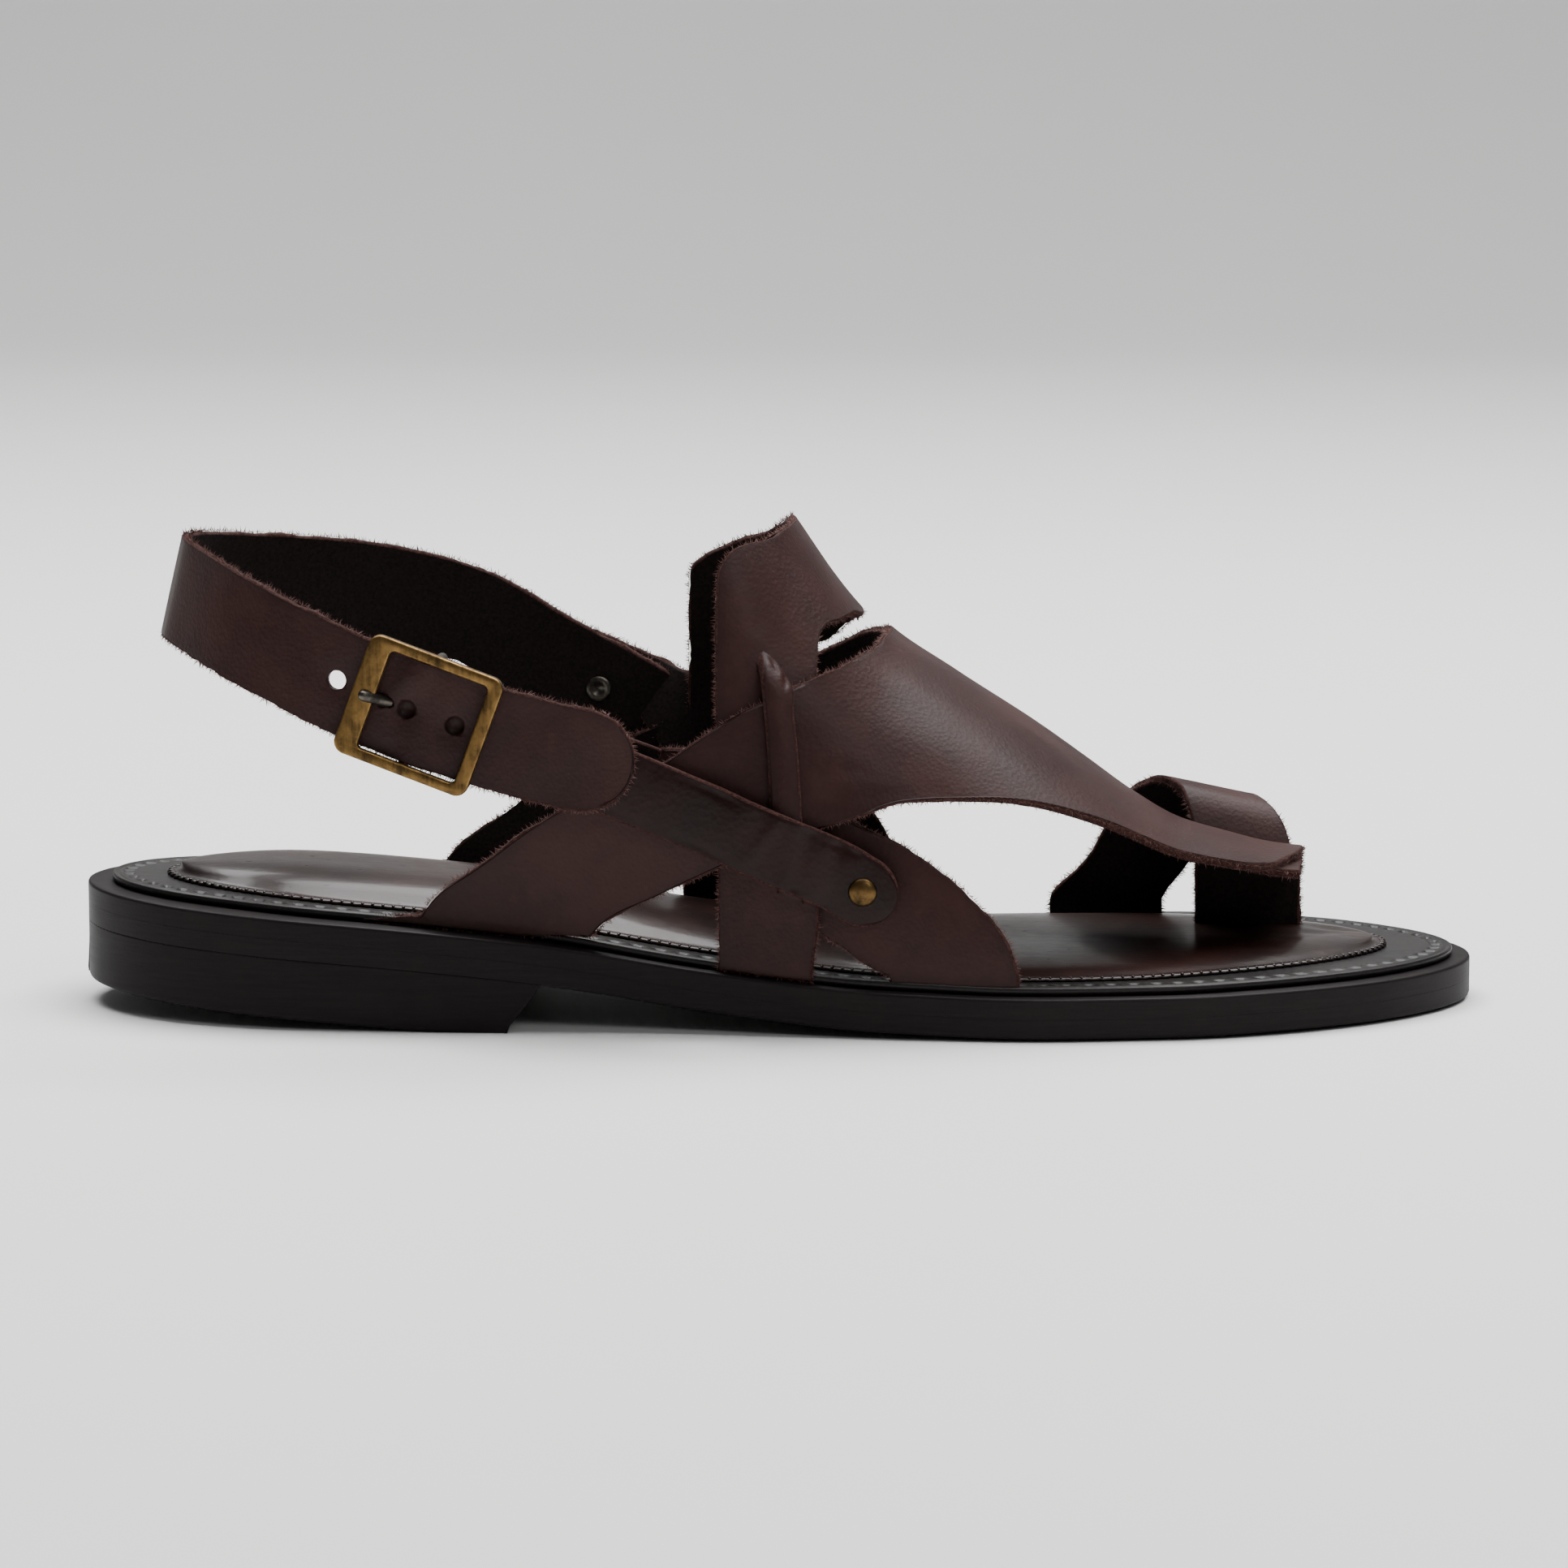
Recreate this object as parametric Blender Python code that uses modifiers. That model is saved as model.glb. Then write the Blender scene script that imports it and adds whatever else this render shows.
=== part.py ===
# Wraparound sandal, right foot
# The toe points along +X, the big toe side is +Y and the floor is z = 0

from math import cos, pi, radians, sin, sqrt

import bmesh
import bpy
import numpy as np
from mathutils import Matrix, Vector

# Named sizes in metres
LENGTH = 0.285
HALF_WIDTH = 0.0471
INSTEP = 0.099
HEEL_RISE = 0.0167
LEATHER = 0.002
BUCKLE_LEATHER = 0.0018
OUTSOLE = 0.0039
MIDSOLE = 0.0040
BOARD = 0.0015
PAD_EDGE = 0.0005
JOINT_GAP = 0.0003
END_TIP = 0.006
SEAT = 0.0025
ANCHOR = 0.0012
FOOT_WRAP = 10
SLOT_BELOW = 0.004
SLOT_ABOVE = 0.006
HEEL_FLARE = 0.0008
BREAST_TOP = 0.335
BREAST_BOTTOM = 0.311
HEEL_FLAT = 0.26
HEEL_LIFT = 0.0052
HEEL_STATIONS = 22
HEEL_SIDES = (-1, -0.6, 0, 0.6, 1)
STRAP_WIDTH = 0.0195
BUCKLE_STRAP_WIDTH = 0.0142
STRAP_HOLE = 0.0019
RIVET_HOLE = 0.0015

# Width of the sole: share along, centre line and half width as shares of HALF_WIDTH
PLAN = (
    (0.00, 0.000, 0.764),
    (0.10, -0.006, 0.777),
    (0.20, -0.042, 0.783),
    (0.30, -0.070, 0.783),
    (0.40, -0.085, 0.781),
    (0.50, -0.089, 0.834),
    (0.60, -0.072, 0.932),
    (0.70, -0.032, 1.000),
    (0.78, 0.019, 0.996),
    (0.85, 0.059, 0.962),
    (0.92, 0.098, 0.926),
    (1.00, 0.127, 0.860),
)
HEEL_ROUND = 0.17
TOE_ROUND = 0.22

# Underside of the sole: share along, height at the edge and in the middle as shares of HEEL_RISE
UNDERSIDE = (
    (0.00, 1.000, 1.000),
    (0.15, 0.850, 0.850),
    (0.333, 0.581, 0.581),
    (0.45, 0.281, 0.262),
    (0.56, 0.090, 0.042),
    (0.61, 0.060, 0.000),
    (0.66, 0.036, 0.000),
    (0.75, 0.030, 0.000),
    (0.88, 0.042, 0.000),
    (0.96, 0.036, 0.000),
    (1.00, 0.036, 0.012),
)
FLAT_SHARE = 0.72

# Plain rim of the sole outside the board: share along, rim as a share of HALF_WIDTH
RIM = (
    (0.00, 0.106),
    (0.10, 0.127),
    (0.30, 0.117),
    (0.42, 0.068),
    (0.70, 0.064),
    (0.90, 0.076),
    (1.00, 0.085),
)
RIM_ENDS = (0.005, 0.0037)

# Padded centre: share along, inset from the sole edge and crown as shares of HALF_WIDTH
PAD = (
    (0.00, 0.270, 0.060),
    (0.12, 0.270, 0.085),
    (0.30, 0.262, 0.080),
    (0.50, 0.215, 0.048),
    (0.70, 0.205, 0.036),
    (0.90, 0.235, 0.034),
    (1.00, 0.250, 0.022),
)
PAD_ENDS = (0.0165, 0.0175)

# Ridge of the foot form: share along, side shift of HALF_WIDTH, height of INSTEP
RIDGE = (
    (0.237, 0.000, 1.263),
    (0.342, 0.000, 1.263),
    (0.462, 0.000, 1.146),
    (0.504, 0.000, 0.972),
    (0.544, 0.000, 0.812),
    (0.569, 0.000, 0.735),
    (0.616, 0.021, 0.642),
    (0.664, 0.042, 0.551),
    (0.711, 0.085, 0.453),
    (0.747, 0.127, 0.381),
    (0.783, 0.159, 0.322),
    (0.818, 0.180, 0.289),
    (0.852, 0.191, 0.265),
    (0.887, 0.202, 0.252),
)
ROUNDNESS = 0.8
TOE_GAP_START = 0.668
TOE_GAP_END = 0.802
TOE_GAP_SIDE = 0.011

# Straps on the foot form: back edge and front edge as share along and wrap angle, then lift.
# Wrap is 0 on the outer foot line, 90 on the ridge, 180 on the inner one; lift is in leathers.
VAMP_TAIL = (
    (0.253, -10, 0.376, -10, 0.3),
    (0.253, 0, 0.376, 0, 0.4),
    (0.298, 4.2, 0.430, 4.2, 0.9),
    (0.339, 8.7, 0.473, 8.7, 1.4),
    (0.376, 12.0, 0.494, 12.0, 1.6),
    (0.412, 15.5, 0.515, 15.5, 1.6),
    (0.441, 19.7, 0.537, 19.7, 1.6),
    (0.468, 24.7, 0.559, 24.7, 1.6),
    (0.488, 30.3, 0.582, 30.3, 1.6),
)
VAMP_TOP = (
    (0.509, 38.1, 0.630, 38.1, 1.6),
    (0.534, 50.1, 0.697, 50.1, 1.6),
    (0.543, 56.0, 0.738, 56.0, 1.6),
    (0.547, 59.2, 0.780, 59.2, 1.6),
    (0.551, 62.5, 0.831, 62.5, 1.6),
    (0.557, 67.5, 0.850, 67.5, 1.6),
    (0.561, 74.0, 0.860, 74.0, 1.6),
    (0.568, 90.0, 0.877, 90.0, 1.6),
    (0.566, 103.0, 0.845, 103.0, 1.6),
    (0.558, 113.0, 0.770, 113.0, 1.6),
    (0.545, 125.0, 0.705, 125.0, 1.6),
    (0.523, 139.0, 0.635, 139.0, 1.6),
)
INSTEP_STRAP = (
    (0.461, -10, 0.527, -10, 0.7),
    (0.461, 0, 0.527, 0, 0.8),
    (0.461, 5, 0.531, 5, 0.8),
    (0.460, 15, 0.530, 15, 0.8),
    (0.458, 26, 0.527, 26, 0.8),
    (0.457, 40, 0.523, 40, 0.8),
    (0.457, 44.5, 0.523, 44.5, 0.8),
    (0.463, 49.4, 0.523, 49.4, 0.8),
    (0.473, 54.5, 0.523, 54.5, 0.8),
    (0.482, 59.4, 0.526, 59.4, 0.8),
    (0.490, 67, 0.535, 67, 0.8),
    (0.498, 78.8, 0.544, 78.8, 0.8),
    (0.501, 90, 0.551, 90, 0.8),
    (0.498, 103, 0.550, 103, 0.8),
    (0.487, 121, 0.541, 121, 0.8),
    (0.467, 132, 0.529, 132, 0.8),
    (0.444, 138, 0.514, 138, 0.8),
    (0.432, 143, 0.504, 143, 0.8),
    (0.432, 155, 0.502, 155, 0.8),
    (0.430, 168, 0.503, 168, 0.8),
    (0.428, 180, 0.503, 180, 0.8),
    (0.428, 190, 0.503, 190, 0.7),
)
BRIDGE = (
    (0.484, 45.0, 0.503, 45.0, 0.9),
    (0.485, 41.0, 0.504, 41.0, 1.2),
    (0.486, 38.0, 0.504, 38.0, 1.9),
    (0.487, 34.5, 0.505, 34.5, 2.35),
    (0.493, 27.5, 0.510, 27.5, 2.4),
    (0.497, 21.0, 0.515, 21.0, 2.4),
    (0.499, 16.5, 0.518, 16.5, 2.35),
    (0.500, 13.0, 0.520, 13.0, 2.1),
    (0.501, 10.0, 0.521, 10.0, 1.4),
    (0.502, 7.0, 0.522, 7.0, 0.9),
)
LATERAL_BAND = (
    (0.581, -10, 0.670, -10, 0.0),
    (0.581, 0, 0.670, 0, 0.0),
    (0.571, 0.8, 0.667, 4.0, 0.0),
    (0.557, 2.0, 0.658, 9.4, 0.0),
    (0.545, 3.0, 0.645, 13.6, 0.0),
    (0.532, 3.9, 0.627, 17.8, 0.0),
    (0.515, 4.9, 0.604, 21.0, 0.0),
    (0.497, 5.9, 0.582, 23.0, 0.0),
    (0.463, 7.1, 0.540, 23.2, 0.0),
    (0.430, 8.8, 0.470, 20.4, 0.0),
    (0.404, 10.4, 0.420, 18.2, 0.0),
)
MEDIAL_BAND = (
    (0.512, 190, 0.598, 190, 0.0),
    (0.512, 180, 0.598, 180, 0.0),
    (0.503, 178.8, 0.590, 174.0, 0.0),
    (0.492, 177.5, 0.576, 167.0, 0.0),
    (0.478, 176.0, 0.555, 161.0, 0.0),
    (0.460, 174.0, 0.525, 157.5, 0.0),
    (0.440, 171.5, 0.490, 156.5, 0.0),
    (0.420, 168.5, 0.455, 157.0, 0.5),
    (0.402, 165.5, 0.430, 157.5, 2.2),
    (0.387, 163.5, 0.410, 157.5, 4.7),
    (0.365, 162.0, 0.390, 157.0, 5.6),
    (0.340, 160.5, 0.362, 155.8, 5.8),
)
TOE_POST = (
    (0.802, 70, 0.872, 70, 0.75),
    (0.802, 90, 0.876, 90, 0.8),
    (0.802, 110, 0.878, 110, 0.85),
    (0.802, 135, 0.878, 135, 0.85),
    (0.802, 160, 0.878, 160, 0.85),
    (0.802, 180, 0.878, 180, 0.85),
    (0.802, 190, 0.878, 190, 0.85),
)

# Toe ring: back edge and front edge, each as shares of LENGTH, HALF_WIDTH and INSTEP
TOE_RING = (
    (0.6979, 0.8662, 0.0909, 0.7814, 0.8662, 0.0909),
    (0.6985, 0.8700, 0.1414, 0.7820, 0.8700, 0.1364),
    (0.7263, 0.8556, 0.2323, 0.8018, 0.8238, 0.2242),
    (0.7421, 0.7898, 0.3182, 0.8193, 0.7325, 0.3131),
    (0.7607, 0.6688, 0.4000, 0.8361, 0.6263, 0.3657),
    (0.7772, 0.5732, 0.4202, 0.8467, 0.5520, 0.3818),
    (0.7895, 0.4713, 0.4121, 0.8579, 0.4650, 0.3657),
    (0.7975, 0.3822, 0.3687, 0.8684, 0.3822, 0.3232),
    (0.8018, 0.3270, 0.2828, 0.8754, 0.3270, 0.2525),
    (0.8053, 0.3227, 0.1414, 0.8796, 0.3227, 0.1414),
    (0.8053, 0.3227, 0.0970, 0.8796, 0.3227, 0.0970),
)

# Heel strap from its tip round the heel: middle line as shares, then inward lean
HEEL_STRAP = (
    (0.4011, -0.9597, 0.5465, 0),
    (0.3526, -0.9597, 0.5747, 0),
    (0.3000, -0.9544, 0.6131, 0),
    (0.2772, -0.9554, 0.6354, 0),
    (0.2537, -0.9565, 0.6586, 0),
    (0.2316, -0.9342, 0.6818, 0),
    (0.2077, -0.9130, 0.7071, 0),
    (0.1772, -0.8769, 0.7475, 0.05),
    (0.1439, -0.7919, 0.7899, 0.1),
    (0.1147, -0.6476, 0.8242, 0.18),
    (0.0895, -0.4246, 0.8505, 0.22),
    (0.0709, -0.1699, 0.8646, 0.23),
    (0.0656, 0.0637, 0.8646, 0.23),
    (0.0772, 0.2972, 0.8576, 0.22),
    (0.1035, 0.4777, 0.8455, 0.2),
    (0.1456, 0.6008, 0.8323, 0.16),
    (0.1877, 0.6688, 0.8172, 0.12),
    (0.2316, 0.7134, 0.7909, 0.1),
    (0.2719, 0.7431, 0.7535, 0.08),
    (0.3235, 0.7340, 0.6667, 0.04),
    (0.3646, 0.7200, 0.6030, 0),
    (0.3860, 0.7120, 0.5697, 0),
)

HEEL_CENTRE = (0.25, 0, 0)

# Buckle strap: outer leg from the rivet to the bar, then inner leg back to the front band
OUTER_LEG = (
    (0.5832, -0.9330, 0.2687),
    (0.5607, -0.9270, 0.2990),
    (0.5435, -0.9257, 0.3283),
    (0.5281, -0.9427, 0.3505),
    (0.5070, -0.9618, 0.3768),
    (0.4825, -0.9469, 0.4061),
    (0.4596, -0.9172, 0.4343),
    (0.4077, -0.8832, 0.4939),
    (0.3772, -0.8832, 0.5313),
    (0.3421, -0.8938, 0.5717),
    (0.3000, -0.9045, 0.6121),
    (0.2684, -0.9087, 0.6434),
)
INNER_LEG = (
    (0.2684, -0.8238, 0.6434),
    (0.3000, -0.8120, 0.6141),
    (0.3421, -0.7780, 0.5758),
    (0.3772, -0.7520, 0.5414),
    (0.4050, -0.7420, 0.5130),
)

# Buckle: bar place as shares, then sizes in metres
BAR_PLACE = (0.2537, -0.8662, 0.6586)
FRAME_LENGTH = 0.0283
FRAME_HEIGHT = 0.0251
FRAME_BAR = 0.0047
FRAME_KEEPER = 0.0029
FRAME_RAIL = 0.0022
FRAME_THICK = 0.0020
FRAME_TURN = 4.1
FRAME_DROP = 20.3
FRAME_SOFT = 0.0006
BAR_DEPTH = 0.0059
BAR_RADIUS = 0.0008
BAR_SHORT = 0.0004
POST_INSET = 0.0010
POST_HALVES = (0.0010, 0.0009)
FOLD_RADIUS = 0.0020
PRONG_RADIUS = 0.0009
PRONG_ROOM = 0.0004
PRONG_ROOT = (-0.0052, -0.0050)
PRONG_TIP = (-0.0122, 0.0003)

# Rivets, and the plain strap holes by their distance from the strap tip
RIVET_CAP = 0.0029
RIVET_DOME = 0.0012
RIVET_SHANK = 0.0012
RIVET_REACH = 0.0038
RIVET_TAIL = 0.0005
RIVET_TAIL_SHARE = 0.9
RIVET_BORE = 0.006
HOLE_SHARES = (0.1281, 0.1632, 0.2168)


# Smooth curve through a table column that never swings past its rows
def curve(keys, values, at):
    keys = np.asarray(keys, float)
    values = np.asarray(values, float)
    step = np.diff(keys)
    slope = np.diff(values) / step
    tangent = np.zeros_like(values)
    tangent[0] = slope[0]
    tangent[-1] = slope[-1]
    for i in range(1, len(keys) - 1):
        if slope[i - 1] * slope[i] > 0:
            before = 2 * step[i] + step[i - 1]
            after = step[i] + 2 * step[i - 1]
            tangent[i] = (before + after) / (before / slope[i - 1] + after / slope[i])
    at = min(max(at, keys[0]), keys[-1])
    i = int(min(max(np.searchsorted(keys, at) - 1, 0), len(step) - 1))
    t = (at - keys[i]) / step[i]
    rise = (2 * t**3 - 3 * t**2 + 1) * values[i] + (3 * t**2 - 2 * t**3) * values[i + 1]
    bend = (t**3 - 2 * t**2 + t) * tangent[i] + (t**3 - t**2) * tangent[i + 1]
    return rise + bend * step[i]


# One column of a table read at a share along the sole
def read(table, column, at):
    return curve([row[0] for row in table], [row[column] for row in table], at)


# Point from shares of the named sizes, measured from the middle of the sole
def place(along, side, up):
    return Vector(((along - 0.5) * LENGTH, side * HALF_WIDTH, up * INSTEP))


# Half width of the sole drawn in by an inset, rounded at both ends
def half_width(share, inset):
    half = read(PLAN, 2, share) * HALF_WIDTH - inset
    if share < HEEL_ROUND:
        half = end_round(half, 1 - share / HEEL_ROUND)
    if share > 1 - TOE_ROUND:
        half = end_round(half, (share - 1 + TOE_ROUND) / TOE_ROUND)
    return half


# Elliptic end that keeps a short blunt tip
def end_round(half, reach):
    tip = min(END_TIP, half)
    return sqrt(tip**2 + (half**2 - tip**2) * max(0, 1 - reach**2))


# Height of the top of the sole at a share along it
def sole_top(share):
    return read(UNDERSIDE, 1, share) * HEEL_RISE + OUTSOLE + JOINT_GAP + MIDSOLE


# Top of the footbed board
def board_top(share):
    return sole_top(share) + JOINT_GAP + BOARD


# Stations from heel to toe, closer together at the rounded ends
def stations(count):
    return [0.5 - 0.5 * cos(pi * i / count) for i in range(count + 1)]


# Object from vertices and faces with outward normals
def mesh_object(name, verts, faces, collection):
    mesh = bpy.data.meshes.new(name)
    work = bmesh.new()
    made = [work.verts.new(v) for v in verts]
    for face in faces:
        work.faces.new([made[i] for i in face])
    bmesh.ops.recalc_face_normals(work, faces=work.faces)
    work.to_mesh(mesh)
    work.free()
    item = bpy.data.objects.new(name, mesh)
    collection.objects.link(item)
    return item


# Closed loft between a lower and an upper grid of the same size
def closed_grid(name, lower, upper, collection):
    rows = len(lower)
    cols = len(lower[0])
    verts = [p for grid in (lower, upper) for row in grid for p in row]
    faces = []
    for i in range(rows - 1):
        for j in range(cols - 1):
            a = i * cols + j
            quad = (a, a + 1, a + cols + 1, a + cols)
            faces.append(quad)
            faces.append(tuple(v + rows * cols for v in reversed(quad)))
    rim = [j for j in range(cols)]
    rim += [i * cols + cols - 1 for i in range(1, rows)]
    rim += [(rows - 1) * cols + j for j in range(cols - 2, -1, -1)]
    rim += [i * cols for i in range(rows - 2, 0, -1)]
    for k, here in enumerate(rim):
        after = rim[(k + 1) % len(rim)]
        faces.append((here, here + rows * cols, after + rows * cols, after))
    return mesh_object(name, verts, faces, collection)


# Open sheet from a grid, thickened evenly about its middle
def thick_sheet(name, grid, thickness, collection):
    cols = len(grid[0])
    verts = [p for row in grid for p in row]
    faces = []
    for i in range(len(grid) - 1):
        for j in range(cols - 1):
            a = i * cols + j
            faces.append((a, a + 1, a + cols + 1, a + cols))
    item = mesh_object(name, verts, faces, collection)
    solid = item.modifiers.new("Thickness", "SOLIDIFY")
    solid.thickness = thickness
    solid.offset = 0
    return item


# One layer of the sole between two height functions of share and side share
def sole_layer(name, inset, ends, low, high, counts, collection):
    start = -LENGTH / 2 + ends[0]
    reach = LENGTH - ends[0] - ends[1]
    lower = []
    upper = []
    for u in stations(counts[0]):
        x = start + reach * u
        share = x / LENGTH + 0.5
        middle = read(PLAN, 1, share) * HALF_WIDTH
        half = half_width(u, inset(u))
        sides = [-cos(pi * j / counts[1]) for j in range(counts[1] + 1)]
        lower.append([(x, middle + half * t, low(share, t)) for t in sides])
        upper.append([(x, middle + half * t, high(share, t, u)) for t in sides])
    return closed_grid(name, lower, upper, collection)


# Underside of the outsole, flat in the middle and lifted to the edge
def outsole_bottom(share, t):
    edge = read(UNDERSIDE, 1, share) * HEEL_RISE
    middle = read(UNDERSIDE, 2, share) * HEEL_RISE
    climb = max(0, (abs(t) - FLAT_SHARE) / (1 - FLAT_SHARE))
    return middle + (edge - middle) * climb**2


# Low heel block with a slanted breast and a back that lifts off the floor
def heel_block(collection):
    lower = []
    upper = []
    back = -LENGTH / 2
    for u in stations(HEEL_STATIONS):
        low_x = back - HEEL_FLARE + (BREAST_BOTTOM * LENGTH + HEEL_FLARE) * u
        top_x = back + BREAST_TOP * LENGTH * u
        rows = ((low_x, HEEL_FLARE, lower), (top_x, 0, upper))
        for x, flare, grid in rows:
            share = max(0, x / LENGTH + 0.5)
            middle = read(PLAN, 1, share) * HALF_WIDTH
            half = half_width(share, 0) + flare
            if grid is lower:
                z = HEEL_LIFT * max(0, (HEEL_FLAT - share) / HEEL_FLAT)
            else:
                z = read(UNDERSIDE, 2, share) * HEEL_RISE - JOINT_GAP
            grid.append([(x, middle + half * t, z) for t in HEEL_SIDES])
    return closed_grid("heel", lower, upper, collection)


# Half width of the foot form on the outer and the inner side
def form_sides(share):
    edge = read(RIM, 1, share) * HALF_WIDTH + SEAT
    middle = read(PLAN, 1, share) * HALF_WIDTH
    half = half_width(share, 0)
    inner = middle + half - edge
    if share > TOE_GAP_START:
        t = min(1, (share - TOE_GAP_START) / (TOE_GAP_END - TOE_GAP_START))
        t = t * t * (3 - 2 * t)
        inner = inner * (1 - t) + TOE_GAP_SIDE * t
    return middle - half + edge, inner


# Point on the foot form at a share along and a wrap angle in radians
def form_point(share, wrap):
    outer, inner = form_sides(share)
    ridge_y = read(RIDGE, 1, share) * HALF_WIDTH
    ridge_z = read(RIDGE, 2, share) * INSTEP
    base = board_top(share)
    side = outer if wrap <= pi / 2 else inner
    y = ridge_y + (side - ridge_y) * abs(cos(wrap))**ROUNDNESS
    z = base + (ridge_z - base) * max(sin(wrap), 0)**ROUNDNESS
    return Vector(((share - 0.5) * LENGTH, y, z))


# Point lifted off the foot form, or sunk straight down below its foot line
def lifted_point(share, degrees, lift):
    held = min(max(degrees, 0.12), 179.88)
    wrap = radians(held)
    along = form_point(share + 0.002, wrap) - form_point(share - 0.002, wrap)
    around = form_point(share, wrap + 0.001) - form_point(share, wrap - 0.001)
    normal = along.cross(around).normalized()
    outward = Vector((0, -1 if held < 90 else 1, 1))
    if normal.dot(outward) < 0:
        normal = -normal
    point = form_point(share, wrap) + normal * lift
    beyond = max(0, -degrees, degrees - 180) / FOOT_WRAP
    point.z += (board_top(share) - ANCHOR - point.z) * beyond
    return point


# Strap laid on the foot form from a table of its two edges
def form_strap(name, table, steps, across, collection):
    keys = range(len(table))
    grid = []
    for k in range((len(table) - 1) * steps + 1):
        at = k / steps
        row = [curve(keys, [r[c] for r in table], at) for c in range(5)]
        points = []
        for j in range(across + 1):
            t = j / across
            share = row[0] + (row[2] - row[0]) * t
            wrap = row[1] + (row[3] - row[1]) * t
            points.append(lifted_point(share, wrap, (row[4] + 0.5) * LEATHER))
        grid.append(points)
    return thick_sheet(name, grid, LEATHER, collection)


# Strap between two edge curves given as shares of the named sizes
def edge_strap(name, table, steps, across, collection):
    keys = range(len(table))
    grid = []
    for k in range((len(table) - 1) * steps + 1):
        row = [curve(keys, [r[c] for r in table], k / steps) for c in range(6)]
        back = place(*row[:3])
        front = place(*row[3:])
        grid.append([back.lerp(front, j / across) for j in range(across + 1)])
    return thick_sheet(name, grid, LEATHER, collection)


# Dense middle line through centre points, each with its own upward direction
def middle_line(points, ups, steps):
    keys = range(len(points))
    rows = [(*p, *up) for p, up in zip(points, ups)]
    line = []
    for k in range((len(rows) - 1) * steps + 1):
        line.append([curve(keys, [r[c] for r in rows], k / steps) for c in range(6)])
    return line


# Lengths along a middle line
def lengths(line):
    total = [0.0]
    for a, b in zip(line, line[1:]):
        total.append(total[-1] + (Vector(b[:3]) - Vector(a[:3])).length)
    return total


# Place, direction and cross direction of a strap at a length along its middle line
def line_frame(line, total, at):
    here = [np.interp(at, total, [p[c] for p in line]) for c in range(6)]
    ahead = [np.interp(at + 0.0006, total, [p[c] for p in line]) for c in range(3)]
    behind = [np.interp(at - 0.0006, total, [p[c] for p in line]) for c in range(3)]
    run = (Vector(ahead) - Vector(behind)).normalized()
    rise = Vector(here[3:])
    rise = (rise - run * rise.dot(run)).normalized()
    return Vector(here[:3]), run, rise


# Band of even width along a middle line with one or two rounded ends
def ribbon(name, line, width, thickness, rounds, collection):
    total = lengths(line)
    radius = width / 2
    turns = [radians(a) for a in (14, 26, 38, 52, 66, 80)]
    cuts = [(radius * (1 - cos(a)), sin(a)) for a in turns] if rounds[0] else [(0.0, 1.0)]
    inner_start = radius if rounds[0] else 0.0005
    inner_stop = total[-1] - (radius if rounds[1] else 0.0005)
    cuts += [(t, 1.0) for t in total[::2] if inner_start < t < inner_stop]
    if rounds[1]:
        cuts += [(total[-1] - radius * (1 - cos(a)), sin(a)) for a in reversed(turns)]
    else:
        cuts.append((total[-1], 1.0))
    grid = []
    for at, share in cuts:
        point, run, rise = line_frame(line, total, at)
        half = radius * share
        grid.append([point + rise * half * t for t in (-1, -0.5, 0, 0.5, 1)])
    return thick_sheet(name, grid, thickness, collection)


# Turned body from a profile of radius and height pairs along an axis
def turned(name, profile, centre, axis, collection):
    turn = Vector((0, 0, 1)).rotation_difference(axis)
    sides = 20
    verts = []
    for radius, height in profile[1:-1]:
        for k in range(sides):
            angle = 2 * pi * k / sides
            point = Vector((radius * cos(angle), radius * sin(angle), height))
            verts.append(centre + turn @ point)
    rings = len(profile) - 2
    verts.append(centre + turn @ Vector((0, 0, profile[0][1])))
    verts.append(centre + turn @ Vector((0, 0, profile[-1][1])))
    faces = []
    for r in range(rings - 1):
        for k in range(sides):
            a = r * sides + k
            b = r * sides + (k + 1) % sides
            faces.append((a, b, b + sides, a + sides))
    for k in range(sides):
        after = (k + 1) % sides
        faces.append((k, rings * sides, after))
        last = (rings - 1) * sides
        faces.append((last + k, last + after, rings * sides + 1))
    return mesh_object(name, verts, faces, collection)


# Straight pin used as a cutter or a bar
def pin(name, centre, axis, radius, reach, collection):
    profile = ((0, -reach), (radius, -reach), (radius, reach), (0, reach))
    return turned(name, profile, centre, axis.normalized(), collection)


# Block from a centre, three axes and half sizes
def block(name, centre, axes, halves, collection):
    corners = []
    for a in (-1, 1):
        for b in (-1, 1):
            for c in (-1, 1):
                shift = axes[0] * halves[0] * a + axes[1] * halves[1] * b
                corners.append(centre + shift + axes[2] * halves[2] * c)
    faces = ((0, 1, 3, 2), (4, 6, 7, 5), (0, 4, 5, 1), (2, 3, 7, 6), (0, 2, 6, 4), (1, 5, 7, 3))
    return mesh_object(name, corners, faces, collection)


# Exact Boolean of one object with another
def combine(item, other, operation):
    step = item.modifiers.new(other.name, "BOOLEAN")
    step.operation = operation
    step.solver = "EXACT"
    step.object = other


# Upright slot for a strap foot that runs between two shares on one side
def foot_slot(name, start, stop, side, lift, collection):
    degrees = 0 if side < 0 else 180
    margin = JOINT_GAP / LENGTH
    cols = []
    for j in range(7):
        share = start - margin + (stop - start + 2 * margin) * j / 6
        cols.append(lifted_point(share, degrees, (lift + 0.5) * LEATHER))
    grid = []
    for z in (-SLOT_BELOW, SLOT_ABOVE):
        grid.append([Vector((p.x, p.y, p.z + z)) for p in cols])
    return thick_sheet(name, grid, LEATHER + 2 * JOINT_GAP, collection)


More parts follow.
